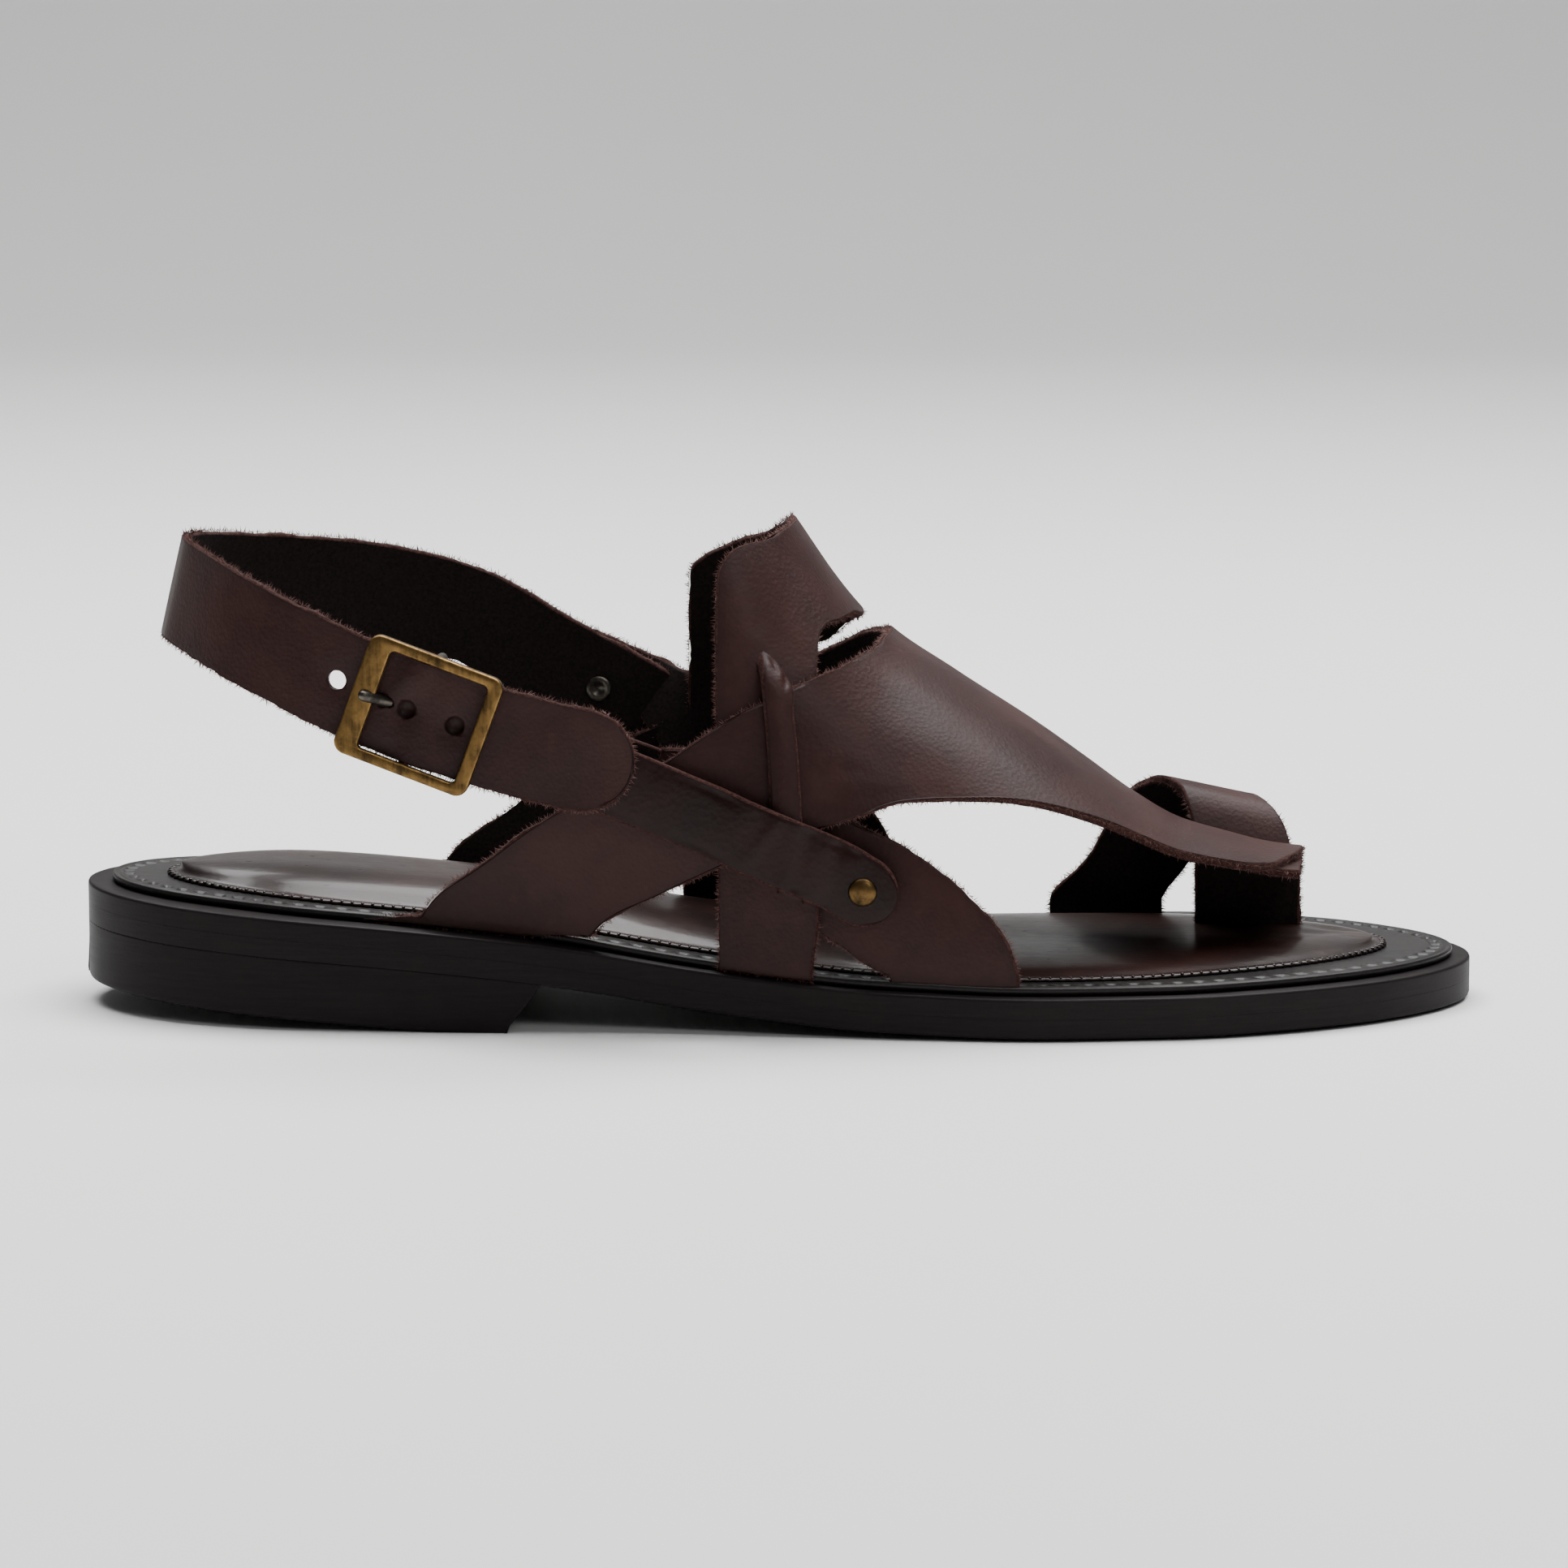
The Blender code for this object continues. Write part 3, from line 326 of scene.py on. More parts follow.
strapFinish = {
    "grainDark": rgb(0.0210, 0.0072, 0.0064), "grainLight": rgb(0.0340, 0.0120, 0.0100),
    "grainWarm": rgb(0.046, 0.0150, 0.0120), "scuff": rgb(0.075, 0.042, 0.037),
    # dark colour of the burnish together with the painted edge shade along the strap's sides
    "burnishAndEdgeShade": rgb(0.012, 0.0045, 0.0040),
    "fleshDark": rgb(0.0045, 0.0030, 0.0027), "fleshLight": rgb(0.0150, 0.0090, 0.0075),
    "cutDark": rgb(0.020, 0.0075, 0.0062), "cutLight": rgb(0.062, 0.026, 0.022),
    "roughness": 0.48, "specular": 0.17, "coat": 0.03, "coatRoughness": 0.25,
    "grainScale": 1150.0, "grainDepth": 0.00014,
}
polishedFinish = dict(
    strapFinish, grainDark=rgb(0.0090, 0.0030, 0.0026), grainLight=rgb(0.0160, 0.0052, 0.0044),
    grainWarm=rgb(0.024, 0.0070, 0.0056), roughness=0.33, specular=0.13, coat=0.04, coatRoughness=0.1,
    grainScale=800.0, grainDepth=0.00012,
)
strapLeather = strapLook("strapLeather", strapFinish)
polishedLeather = strapLook("polishedLeather", polishedFinish)

# Straps on the foot form: back edge and front edge as share along and wrap in degrees,
# then lift in leathers
vampTail = (
    (0.208, -10, 0.318, -10, 0.3), (0.249, 0, 0.370, 0, 0.4), (0.294, 4.2, 0.424, 4.2, 0.9),
    (0.339, 8.7, 0.473, 8.7, 1.4), (0.376, 12.0, 0.494, 12.0, 1.6), (0.412, 15.5, 0.515, 15.5, 1.6),
    (0.441, 19.7, 0.537, 19.7, 1.6), (0.468, 24.7, 0.559, 24.7, 1.6), (0.488, 30.3, 0.582, 30.3, 1.6),
)
vampTop = (
    (0.509, 38.1, 0.630, 38.1, 1.6), (0.534, 50.1, 0.697, 50.1, 1.6), (0.543, 56.0, 0.738, 56.0, 1.6),
    (0.547, 59.2, 0.780, 59.2, 1.6), (0.551, 62.5, 0.831, 62.5, 1.6), (0.557, 67.5, 0.850, 67.5, 1.6),
    (0.561, 74.0, 0.860, 74.0, 1.6), (0.568, 90.0, 0.877, 90.0, 1.6), (0.566, 103.0, 0.845, 103.0, 1.6),
    (0.558, 113.0, 0.770, 113.0, 1.6), (0.545, 125.0, 0.705, 125.0, 1.6), (0.523, 139.0, 0.635, 139.0, 1.6),
)
mirroredTail = tuple((r[0], 180 - r[1], r[2], 180 - r[3], r[4]) for r in reversed(vampTail))
instepRows = (
    (0.461, -10, 0.527, -10, 0.7), (0.461, 0, 0.527, 0, 0.8), (0.461, 5, 0.531, 5, 0.8),
    (0.460, 15, 0.530, 15, 0.8), (0.458, 26, 0.527, 26, 0.8), (0.457, 40, 0.523, 40, 0.8),
    (0.457, 44.5, 0.523, 44.5, 0.8), (0.463, 49.4, 0.523, 49.4, 0.8), (0.473, 54.5, 0.523, 54.5, 0.8),
    (0.482, 59.4, 0.526, 59.4, 0.8), (0.490, 67, 0.535, 67, 0.8), (0.498, 78.8, 0.544, 78.8, 0.8),
    (0.501, 90, 0.551, 90, 0.8), (0.498, 103, 0.550, 103, 0.8), (0.487, 121, 0.541, 121, 0.8),
    (0.467, 132, 0.529, 132, 0.8), (0.444, 138, 0.514, 138, 0.8), (0.432, 143, 0.504, 143, 0.8),
    (0.432, 155, 0.502, 155, 0.8), (0.430, 168, 0.503, 168, 0.8), (0.428, 180, 0.503, 180, 0.8),
    (0.428, 190, 0.503, 190, 0.7),
)
bridgeRows = (
    (0.484, 38.5, 0.507, 38.5, 0.5), (0.484, 37.0, 0.508, 37.0, 1.1), (0.485, 35.6, 0.508, 35.6, 2.0),
    (0.486, 33.5, 0.509, 33.5, 2.4), (0.491, 27.5, 0.514, 27.5, 2.4), (0.495, 21.0, 0.518, 21.0, 2.4),
    (0.497, 16.5, 0.520, 16.5, 2.35), (0.499, 13.0, 0.521, 13.0, 2.1), (0.501, 10.0, 0.522, 10.0, 1.4),
    (0.502, 7.0, 0.522, 7.0, 0.9),
)
outerBandRows = (
    (0.581, -10, 0.670, -10, 0.0), (0.581, 0, 0.670, 0, 0.0), (0.571, 0.8, 0.667, 4.0, 0.0),
    (0.557, 2.0, 0.658, 9.4, 0.0), (0.545, 3.0, 0.645, 13.6, 0.0), (0.532, 3.9, 0.627, 17.8, 0.0),
    (0.515, 4.9, 0.604, 21.0, 0.0), (0.497, 5.9, 0.582, 23.0, 0.0), (0.463, 7.1, 0.540, 23.2, 0.0),
    (0.430, 8.8, 0.470, 20.4, 0.0), (0.404, 10.4, 0.420, 18.2, 0.0),
)
innerBandRows = (
    (0.512, 190, 0.598, 190, 0.0), (0.512, 180, 0.598, 180, 0.0), (0.503, 178.8, 0.590, 174.0, 0.0),
    (0.492, 177.5, 0.576, 167.0, 0.0), (0.478, 176.0, 0.555, 161.0, 0.0), (0.460, 174.0, 0.525, 157.5, 0.0),
    (0.440, 171.5, 0.490, 156.5, 0.0), (0.420, 168.5, 0.455, 157.0, 0.5), (0.402, 165.5, 0.430, 157.5, 2.2),
    (0.387, 163.5, 0.410, 157.5, 4.7), (0.365, 162.0, 0.390, 157.0, 5.6), (0.340, 160.5, 0.362, 155.8, 5.8),
)
toePostRows = (
    (0.802, 70, 0.872, 70, 0.75), (0.802, 90, 0.876, 90, 0.8), (0.802, 110, 0.878, 110, 0.85),
    (0.802, 135, 0.878, 135, 0.85), (0.802, 160, 0.878, 160, 0.85), (0.802, 180, 0.878, 180, 0.85),
    (0.802, 190, 0.878, 190, 0.85),
)
# Toe ring: back edge, then front edge, as shares of length, half width and instep
toeRingRows = (
    (0.6979, 0.8662, 0.0909, 0.7814, 0.8662, 0.0909), (0.6985, 0.8700, 0.1414, 0.7820, 0.8700, 0.1364),
    (0.7263, 0.8556, 0.2323, 0.8018, 0.8238, 0.2242), (0.7421, 0.7898, 0.3182, 0.8193, 0.7325, 0.3131),
    (0.7607, 0.6688, 0.4000, 0.8361, 0.6263, 0.3657), (0.7772, 0.5732, 0.4202, 0.8467, 0.5520, 0.3818),
    (0.7895, 0.4713, 0.4121, 0.8579, 0.4650, 0.3657), (0.7975, 0.3822, 0.3687, 0.8684, 0.3822, 0.3232),
    (0.8018, 0.3270, 0.2828, 0.8754, 0.3270, 0.2525), (0.8053, 0.3227, 0.1414, 0.8796, 0.3227, 0.1414),
    (0.8053, 0.3227, 0.0970, 0.8796, 0.3227, 0.0970),
)


def formSheet(rows):
    keys, table = np.arange(len(rows)), np.array(rows, float)

    def sheetAt(at, t):
        row = [curve(keys, table[:, c], at)[:, None] for c in range(5)]
        share, wrap = row[0] + (row[2] - row[0]) * t, row[1] + (row[3] - row[1]) * t
        return liftedPoint(share, wrap, (row[4] + 0.5 + 0 * t) * shoe["leather"])

    return sheetAt, keys[-1]


def edgeSheet(rows):
    keys, table = np.arange(len(rows)), np.array(rows, float)

    def sheetAt(at, t):
        row = np.stack([curve(keys, table[:, c], at) for c in range(6)], axis=-1)
        back = np.array([place(*r[:3]) for r in row])[:, None]
        front = np.array([place(*r[3:]) for r in row])[:, None]
        return back + (front - back) * np.asarray(t)[None, :, None]

    return sheetAt, keys[-1]


def runAlong(points):  # length along a line of points from its start
    return np.concatenate([[0], np.cumsum(np.linalg.norm(np.diff(points, axis=0), axis=1))])


def ribbonSheet(points, ups, width, rounds):  # even width along a line, with rounded ends
    rows = np.hstack([np.array(points), np.array(ups)])
    keys = np.arange(len(rows))
    fine = np.linspace(0, keys[-1], len(rows) * 40)
    line = np.stack([curve(keys, rows[:, c], fine) for c in range(6)], axis=-1)
    total = runAlong(line[:, :3])

    def along(at):
        return np.stack([np.interp(at, total, line[:, c]) for c in range(6)], axis=-1)

    def sheetAt(at, t):
        here = along(at)
        run = unit(along(at + 0.0006)[:, :3] - along(at - 0.0006)[:, :3])
        rise = unit(here[:, 3:] - run * (here[:, 3:] * run).sum(1, keepdims=True))
        radius = width / 2
        reach = np.ones_like(at)
        for end, away in zip(rounds, (at, total[-1] - at)):
            if end:
                inside = np.clip(1 - away / radius, 0, 1)
                reach = np.minimum(reach, np.sqrt(np.maximum(0.0016, 1 - inside**2)))
        spread = (radius * reach)[:, None] * (2 * np.asarray(t)[None, :] - 1)
        return here[:, None, :3] + rise[:, None] * spread[..., None]

    return sheetAt, total[-1]


def evenGrid(sheetAt, last, spacing, tips=()):  # rows and columns about a spacing apart
    coarse = np.linspace(0, last, 500)
    middle = sheetAt(coarse, np.array([0.5]))[:, 0]
    run = runAlong(middle)
    at = np.interp(np.linspace(0, run[-1], int(run[-1] / spacing) + 2), run, coarse)
    for start, toward in tips:  # closer rows where a tip is rounded
        at = np.union1d(at, start + toward * spacing * np.array([0.04, 0.12, 0.25, 0.45, 0.7, 1.4, 1.8]))
    sides = sheetAt(coarse, np.array([0.0, 1.0]))
    width = np.linalg.norm(sides[:, 0] - sides[:, 1], axis=1).max()
    return sheetAt(at, np.linspace(0, 1, int(width / spacing) + 3))


def segmentDistance(points, a, b):
    along = b - a
    t = np.clip(((points - a) @ along) / max(along @ along, 1e-12), 0, 1)
    return np.linalg.norm(points - a - t[..., None] * along, axis=-1)


def creaseRelief(points, sheetAt, creases):  # soft troughs and ridges drawn in row, side share
    relief = np.zeros(points.shape[:-1])
    for path, depth, width in creases:
        spots = [sheetAt(np.array([float(r)]), np.array([float(t)]))[0, 0] for r, t in path]
        near = np.full(relief.shape, 1.0)
        for a, b in zip(spots, spots[1:]):
            near = np.minimum(near, segmentDistance(points, a, b))
        relief += depth * np.exp(-((near / width) ** 2))
    return relief


def swell(points, amount, length, seed):  # slow uneven swell of worked leather
    chance = np.random.default_rng(seed)
    total = np.zeros(points.shape[:-1])
    for octave in range(5):
        way = unit(chance.normal(size=3)) / (length * chance.uniform(0.6, 1.5))
        total += np.sin(points @ way * 2 * pi + chance.uniform(0, 6.28))
    return total * amount / 5


fuzzPaths = []  # raw edges that shed fibres: points and outward directions


def strapPiece(name, sheetAt, last, values, look, slot, *nodes):
    middle = evenGrid(sheetAt, last, values["spacing"], values.get("tips", ()))
    rows, cols = middle.shape[:2]
    normal = unit(np.cross(np.gradient(middle, axis=0), np.gradient(middle, axis=1)))
    third = max(2, rows // 3)
    if (normal[:third] * (middle[:third] - np.array(values["centre"]))).sum() < 0:
        normal = -normal
    u = np.repeat(runAlong(middle[:, cols // 2])[:, None], cols, axis=1)
    across = np.cumsum(np.linalg.norm(np.diff(middle, axis=1), axis=2), axis=1)
    gaps = np.hstack([np.zeros((rows, 1)), across])
    v = gaps - gaps[:, -1:] / 2
    fromSide = np.minimum(gaps, gaps[:, -1:] - gaps)
    half = values["thickness"] / 2
    relief = creaseRelief(middle, sheetAt, values.get("creases", ()))
    relief += swell(middle, values["swell"], values["swellLength"], values["seed"])
    crown = values.get("crown", 0) * (1 - (2 * fromSide / np.maximum(gaps[:, -1:], 1e-9) - 1) ** 2)
    outer = middle + normal * (half + relief + crown)[..., None]
    inner = middle - normal * (half - values["insideRelief"] * relief)[..., None]
    loop = [(0, j) for j in range(cols)] + [(i, cols - 1) for i in range(1, rows)]
    loop += [(rows - 1, j) for j in range(cols - 2, -1, -1)] + [(i, 0) for i in range(rows - 2, 0, -1)]
    li, lj = np.array(loop).T
    rimPoint, rimNormal, rimLift = middle[li, lj], normal[li, lj], relief[li, lj]
    away = unit(np.cross(np.roll(rimPoint, -1, 0) - np.roll(rimPoint, 1, 0), rimNormal))
    check = cols + rows // 2 - 1  # a rim place halfway along the far side
    if away[check] @ (middle[li[check], cols - 1] - middle[li[check], cols - 2]) < 0:
        away = -away
    chance = np.random.default_rng(values["seed"])
    ragged = np.convolve(chance.normal(size=len(loop) + 4), np.ones(5) / 5, "valid") * values["ragged"]
    radius = values["edgeRadius"]
    outer[li, lj] -= away * radius
    inner[li, lj] -= away * radius
    rings = []
    for sign, angles in ((1, (60, 30, 0)), (-1, (0, 30, 60))):
        for angle in angles:
            a = radians(angle)
            height = sign * (half - radius + radius * sin(a))
            inset = radius * (1 - cos(a)) - ragged * cos(a)
            rings.append(rimPoint + rimNormal * (height + rimLift)[:, None] - away * inset[:, None])
    size, count = rows * cols, len(loop)
    rimSize = len(rings) * count
    points = np.vstack([outer.reshape(-1, 3), inner.reshape(-1, 3), *rings])
    index = np.arange(size).reshape(rows, cols)
    quads = np.stack([index[:-1, :-1], index[:-1, 1:], index[1:, 1:], index[1:, :-1]], -1).reshape(-1, 4)
    faces = np.vstack([quads, quads[:, ::-1] + size])
    chain = [index[li, lj]]
    chain += [2 * size + n * count + np.arange(count) for n in range(len(rings))]
    chain.append(index[li, lj] + size)
    for low, high in zip(chain, chain[1:]):
        faces = np.vstack([faces, np.stack([low, high, np.roll(high, -1), np.roll(low, -1)], -1)])
    # mask of the burnish and painted edge shade, fading in from the strap's sides
    burnishShadeMark = np.exp(-fromSide / values["burnishAndShadeReach"])
    onRim = np.zeros((rows, cols))
    onRim[li, lj] = values["rimMark"]
    marks = {
        "cut": np.concatenate([onRim.ravel(), onRim.ravel(), np.ones(rimSize)]),
        "flesh": np.concatenate([np.zeros(size), np.ones(size), np.full(rimSize, 0.5)]),
        "edge": np.concatenate([burnishShadeMark.ravel(), burnishShadeMark.ravel(), np.ones(rimSize)]),
    }
    flat = np.stack([u, v], -1).reshape(-1, 2)
    flat = np.vstack([flat, flat] + [flat[index[li, lj]]] * len(rings))
    item = meshFrom(name, points, faces.tolist(), marks, flat)
    if values["fuzz"]:
        above = rimPoint + rimNormal * (half * 0.5 + rimLift)[:, None]
        below = rimPoint - rimNormal * half * 0.5
        fuzzPaths.append((above, unit(away + 0.3 * rimNormal)))
        fuzzPaths.append((below, unit(away - 0.3 * rimNormal)))
    return finishPiece(item, look, slot, *nodes)


strapSizes = {
    "spacing": 0.0009, "thickness": shoe["leather"], "edgeRadius": 0.00045, "swell": 0.00016,
    "ragged": 0.00030, "fuzz": True, "centre": (0.02, 0.0, 0.0), "seed": 1,
    "swellLength": 0.022, "insideRelief": 0.7, "burnishAndShadeReach": 0.0016, "rimMark": 0.45,
}


def upperPiece(name, sheet, values):
    strapPiece(name, *sheet, values, strapLeather, "strap_leather", "upper")


# A family of short creases that start a step apart and run along one slant
def gathers(count, row, side, rowStep, sideStep, slant, depth, width, seed):
    chance = np.random.default_rng(seed)
    made = []
    for n in range(count):
        a = row + rowStep * n + chance.uniform(-0.06, 0.06)
        b = side + sideStep * n + chance.uniform(-0.02, 0.02)
        reach = chance.uniform(0.6, 1.2)
        bend = (a + slant[0] * reach * 0.5, b + slant[1] * reach * 0.45)
        end = (a + slant[0] * reach, b + slant[1] * reach)
        deep = depth * chance.uniform(0.6, 1.2) * (-1 if n % 2 else 0.7)
        made.append((((a, b), bend, end), deep, width * chance.uniform(0.8, 1.3)))
    return made


# Vamp: the wide strap over the forefoot, its tails threaded under the bridge
vampValues = dict(
    strapSizes, seed=11, swell=0.00022,
    creases=gathers(6, 7.2, 0.12, 0.10, 0.15, (1.0, 0.03), 0.00010, 0.0019, 5)
    + gathers(4, 6.3, 0.2, 0.1, 0.2, (0.7, 0.02), 0.00010, 0.0018, 6)
    + gathers(4, 13.5, 0.10, 0.5, 0.08, (0.5, 0.1), 0.00010, 0.0022, 7),
)
upperPiece("vampStrap", formSheet(vampTail + vampTop + mirroredTail), vampValues)

# Instep strap with its two legs
instepValues = dict(
    strapSizes, seed=12,
    creases=gathers(6, 4.2, 0.15, 0.35, 0.09, (0.5, 0.35), 0.00011, 0.0016, 8)
    + gathers(4, 14.5, 0.2, 0.5, 0.1, (0.4, 0.3), 0.00011, 0.0016, 9),
)
upperPiece("instepStrap", formSheet(instepRows), instepValues)

# Bridge strip that holds the vamp's tail against the instep strap
bridgeValues = dict(
    strapSizes, seed=13, spacing=0.0006, crown=0.0007, ragged=0.00006, swell=0.00008, fuzz=False,
    creases=gathers(5, 0.9, 0.15, 0.12, 0.16, (0.9, 0.0), 0.00030, 0.0006, 3),
)
upperPiece("bridgeStrap", formSheet(bridgeRows), bridgeValues)

# Front bands, toe post and toe ring
outerValues = dict(strapSizes, seed=14)
innerValues = dict(strapSizes, seed=15)
postValues = dict(strapSizes, seed=16, centre=(0.095, -0.01, 0.02))
ringValues = dict(strapSizes, seed=17, centre=(0.085, 0.028, 0.018))
upperPiece("outerBand", formSheet(outerBandRows), outerValues)
upperPiece("innerBand", formSheet(innerBandRows), innerValues)
upperPiece("toePost", formSheet(toePostRows), postValues)
upperPiece("toeRing", edgeSheet(toeRingRows), ringValues)
print("straps of the upper made")

# Heel strap: middle line as shares from its tip round the heel, then inward lean
heelRows = (
    (0.4011, -0.9597, 0.5465, 0), (0.3526, -0.9597, 0.5747, 0), (0.3000, -0.9544, 0.6131, 0),
    (0.2772, -0.9554, 0.6354, 0), (0.2537, -0.9565, 0.6586, 0), (0.2316, -0.9342, 0.6818, 0),
    (0.2077, -0.9130, 0.7071, 0), (0.1772, -0.8769, 0.7475, 0.05), (0.1439, -0.7919, 0.7899, 0.1),
    (0.1147, -0.6476, 0.8242, 0.18), (0.0895, -0.4246, 0.8505, 0.22), (0.0709, -0.1699, 0.8646, 0.23),
    (0.0656, 0.0637, 0.8646, 0.23), (0.0772, 0.2972, 0.8576, 0.22), (0.1035, 0.4777, 0.8455, 0.2),
    (0.1456, 0.6008, 0.8323, 0.16), (0.1877, 0.6688, 0.8172, 0.12), (0.2316, 0.7134, 0.7909, 0.1),
    (0.2719, 0.7431, 0.7535, 0.08), (0.3235, 0.7340, 0.6667, 0.04), (0.3646, 0.7200, 0.6030, 0),
    (0.3860, 0.7120, 0.5697, 0), (0.4080, 0.6980, 0.5330, 0), (0.4230, 0.6850, 0.5080, 0),
)
heelStrapSizes = {  # the first two holes are blind, backed by the folded strap
    "width": 0.0206, "holesAt": (0.0365, 0.0465, 0.0618), "blind": (0.0042, 0.0042, 0.0),
    "holeRadius": 0.00195, "holeReach": 0.005, "dent": 0.0005, "centre": (0.25, 0.0, 0.0),
}
heelPoints = np.array([place(*r[:3]) for r in heelRows])
towards = (place(*heelStrapSizes["centre"]) - heelPoints) * (1, 1, 0)
heelUps = np.array([0, 0, 1]) + unit(towards) * np.array([[r[3]] for r in heelRows])
heelSheet, heelLast = ribbonSheet(heelPoints, heelUps, heelStrapSizes["width"], (True, False))


def acrossFrame(sheetAt, at):  # middle point, run and outward direction at a length
    ahead = sheetAt(np.array([at - 0.001, at, at + 0.001]), np.array([0.0, 0.5, 1.0]))
    run = unit(ahead[2, 1] - ahead[0, 1])
    return ahead[1, 1], run, unit(np.cross(run, ahead[1, 2] - ahead[1, 0]))


heelValues = dict(
    strapSizes, seed=21, centre=(-0.071, 0.0, 0.075), spacing=0.0008, edgeRadius=0.0005,
    tips=((0.0, 1),),
    creases=[
        (((at, 0.5), (at + 0.0001, 0.5)), -heelStrapSizes["dent"], heelStrapSizes["holeRadius"] * 1.7)
        for at in heelStrapSizes["holesAt"]
    ] + [
        (((0.048, 0.2), (0.050, 0.5), (0.048, 0.8)), 0.0003, 0.0022),
        (((0.058, 0.15), (0.057, 0.85)), -0.0002, 0.0016),
    ],
)
heelStrap = strapPiece(
    "heelStrapBand", heelSheet, heelLast, heelValues, strapLeather, "strap_leather", "heel_strap"
)


def turnedPiece(name, profile, centre, axis, sides):  # turned solid from radius and height pairs
    way = Vector((0, 0, 1)).rotation_difference(Vector(axis))
    centre = Vector(centre)
    points = []
    for radius, height in profile[1:-1]:
        for k in range(sides):
            a = 2 * pi * k / sides
            points.append(centre + way @ Vector((radius * cos(a), radius * sin(a), height)))
    points += [centre + way @ Vector((0, 0, profile[n][1])) for n in (0, -1)]
    rings, faces = len(profile) - 2, []
    for r in range(rings - 1):
        for k in range(sides):
            a, b = r * sides + k, r * sides + (k + 1) % sides
            faces.append((a, b, b + sides, a + sides))
    for k in range(sides):
        after, end = (k + 1) % sides, (rings - 1) * sides
        faces += [(k, rings * sides, after), (end + k, end + after, rings * sides + 1)]
    return meshFrom(name, points, faces)


def rodProfile(radius, reach):
    return ((0, -reach), (radius, -reach), (radius, reach), (0, reach))


def bore(item, name, centre, axis, radius, reach):
    tool = turnedPiece(name, rodProfile(radius, reach), centre, axis, 32)
    step = item.modifiers.new("Hole", "BOOLEAN")
    step.operation, step.solver, step.object = "DIFFERENCE", "EXACT", tool
    return tool


def settle(item, tools):  # keep the evaluated shape and drop the tools
    graph = bpy.context.evaluated_depsgraph_get()
    shaped = bpy.data.meshes.new_from_object(
        item.evaluated_get(graph), preserve_all_data_layers=True, depsgraph=graph
    )
    item.modifiers.clear()
    item.data = shaped
    for tool in tools:
        bpy.data.objects.remove(tool, do_unlink=True)


# Buckle place and directions
buckle = {
    "barPlace": (0.2537, -0.8662, 0.6586), "drop": 20.3, "turn": 4.1,
    "length": 0.0283, "height": 0.0251, "bar": 0.0047, "keeper": 0.0029, "rail": 0.0022,
    "thick": 0.0020, "outerCorner": 0.0025, "innerCorner": 0.0011, "soft": 0.00045,
    "barDepth": 0.0059, "barRadius": 0.0008, "barShort": 0.0006,
    "postInset": 0.0012, "postRadius": 0.0011, "postTip": 0.0009,
    "fold": 0.0020, "foldSteps": 8, "foldWidth": 0.0142, "foldLeather": 0.0018,
    "prongRadius": 0.00118, "prongRoot": (-0.0058, -0.0024), "prongTip": (-0.0124, 0.0020),
    "prongStart": 0.0009, "prongRoom": 0.0013, "prongClear": 0.0004,
    "sideSteps": 10, "cornerSteps": 7, "worn": (0.0, 0.1, 0.25, 0.8, 0.35, 0.45, 1.0, 0.8, 0.3, 0.0),
}
bar = place(*buckle["barPlace"])
drop, turn = radians(buckle["drop"]), radians(buckle["turn"])
runAxis = unit(np.array([cos(drop) * cos(turn), -sin(turn), -sin(drop)]))
outAxis = np.array([-sin(turn), -1.0, 0.0])
outAxis = unit(outAxis - runAxis * (outAxis @ runAxis))
upAxis = unit(np.cross(outAxis, runAxis))
upAxis = upAxis if upAxis[2] > 0 else -upAxis
frameCentre = bar + outAxis * buckle["barDepth"]
prongRoot, prongTip = (
    frameCentre + runAxis * run + outAxis * out for run, out in (buckle["prongRoot"], buckle["prongTip"])
)

cutters = []
for number, at in enumerate(heelStrapSizes["holesAt"]):
    spot, run, out = acrossFrame(heelSheet, at)
    blind = heelStrapSizes["blind"][number]
    out = out if out[1] < 0 else -out
    middle, radius = spot + out * blind, heelStrapSizes["holeRadius"]
    cutters.append(bore(heelStrap, f"holeTool{number}", middle, out, radius, heelStrapSizes["holeReach"]))
prongWay, prongReach = unit(prongTip - prongRoot), np.linalg.norm(prongTip - prongRoot) / 2
middle, reach = (prongRoot + prongTip) / 2, prongReach + buckle["prongClear"]
cutters.append(bore(heelStrap, "prongRoom", middle, prongWay, buckle["prongRoom"], reach))
settle(heelStrap, cutters)

# Buckle strap folded round the bar
outerLeg = (
    (0.5832, -0.9330, 0.2687), (0.5607, -0.9270, 0.2990), (0.5435, -0.9257, 0.3283),
    (0.5281, -0.9427, 0.3505), (0.5070, -0.9618, 0.3768), (0.4825, -0.9469, 0.4061),
    (0.4596, -0.9172, 0.4343), (0.4077, -0.8832, 0.4939), (0.3772, -0.8832, 0.5313),
    (0.3421, -0.8938, 0.5717), (0.3000, -0.9045, 0.6121), (0.2684, -0.9087, 0.6434),
)
innerLeg = (
    (0.2684, -0.8238, 0.6434), (0.3000, -0.8120, 0.6141), (0.3421, -0.7780, 0.5758),
    (0.3772, -0.7520, 0.5414), (0.4050, -0.7420, 0.5130), (0.4300, -0.7300, 0.4830),
)
foldPoints = []
for k in range(buckle["foldSteps"] + 1):
    a = pi * k / buckle["foldSteps"]
    foldPoints.append(bar + (outAxis * cos(a) - runAxis * sin(a)) * buckle["fold"])
legPoints = [place(*r) for r in outerLeg] + foldPoints + [place(*r) for r in innerLeg]
legUps = [(0, 0, 1)] * len(outerLeg) + [tuple(upAxis)] * len(foldPoints)
legUps += [(0, 0, 1)] * len(innerLeg)
legSheet, legLast = ribbonSheet(legPoints, legUps, buckle["foldWidth"], (True, False))
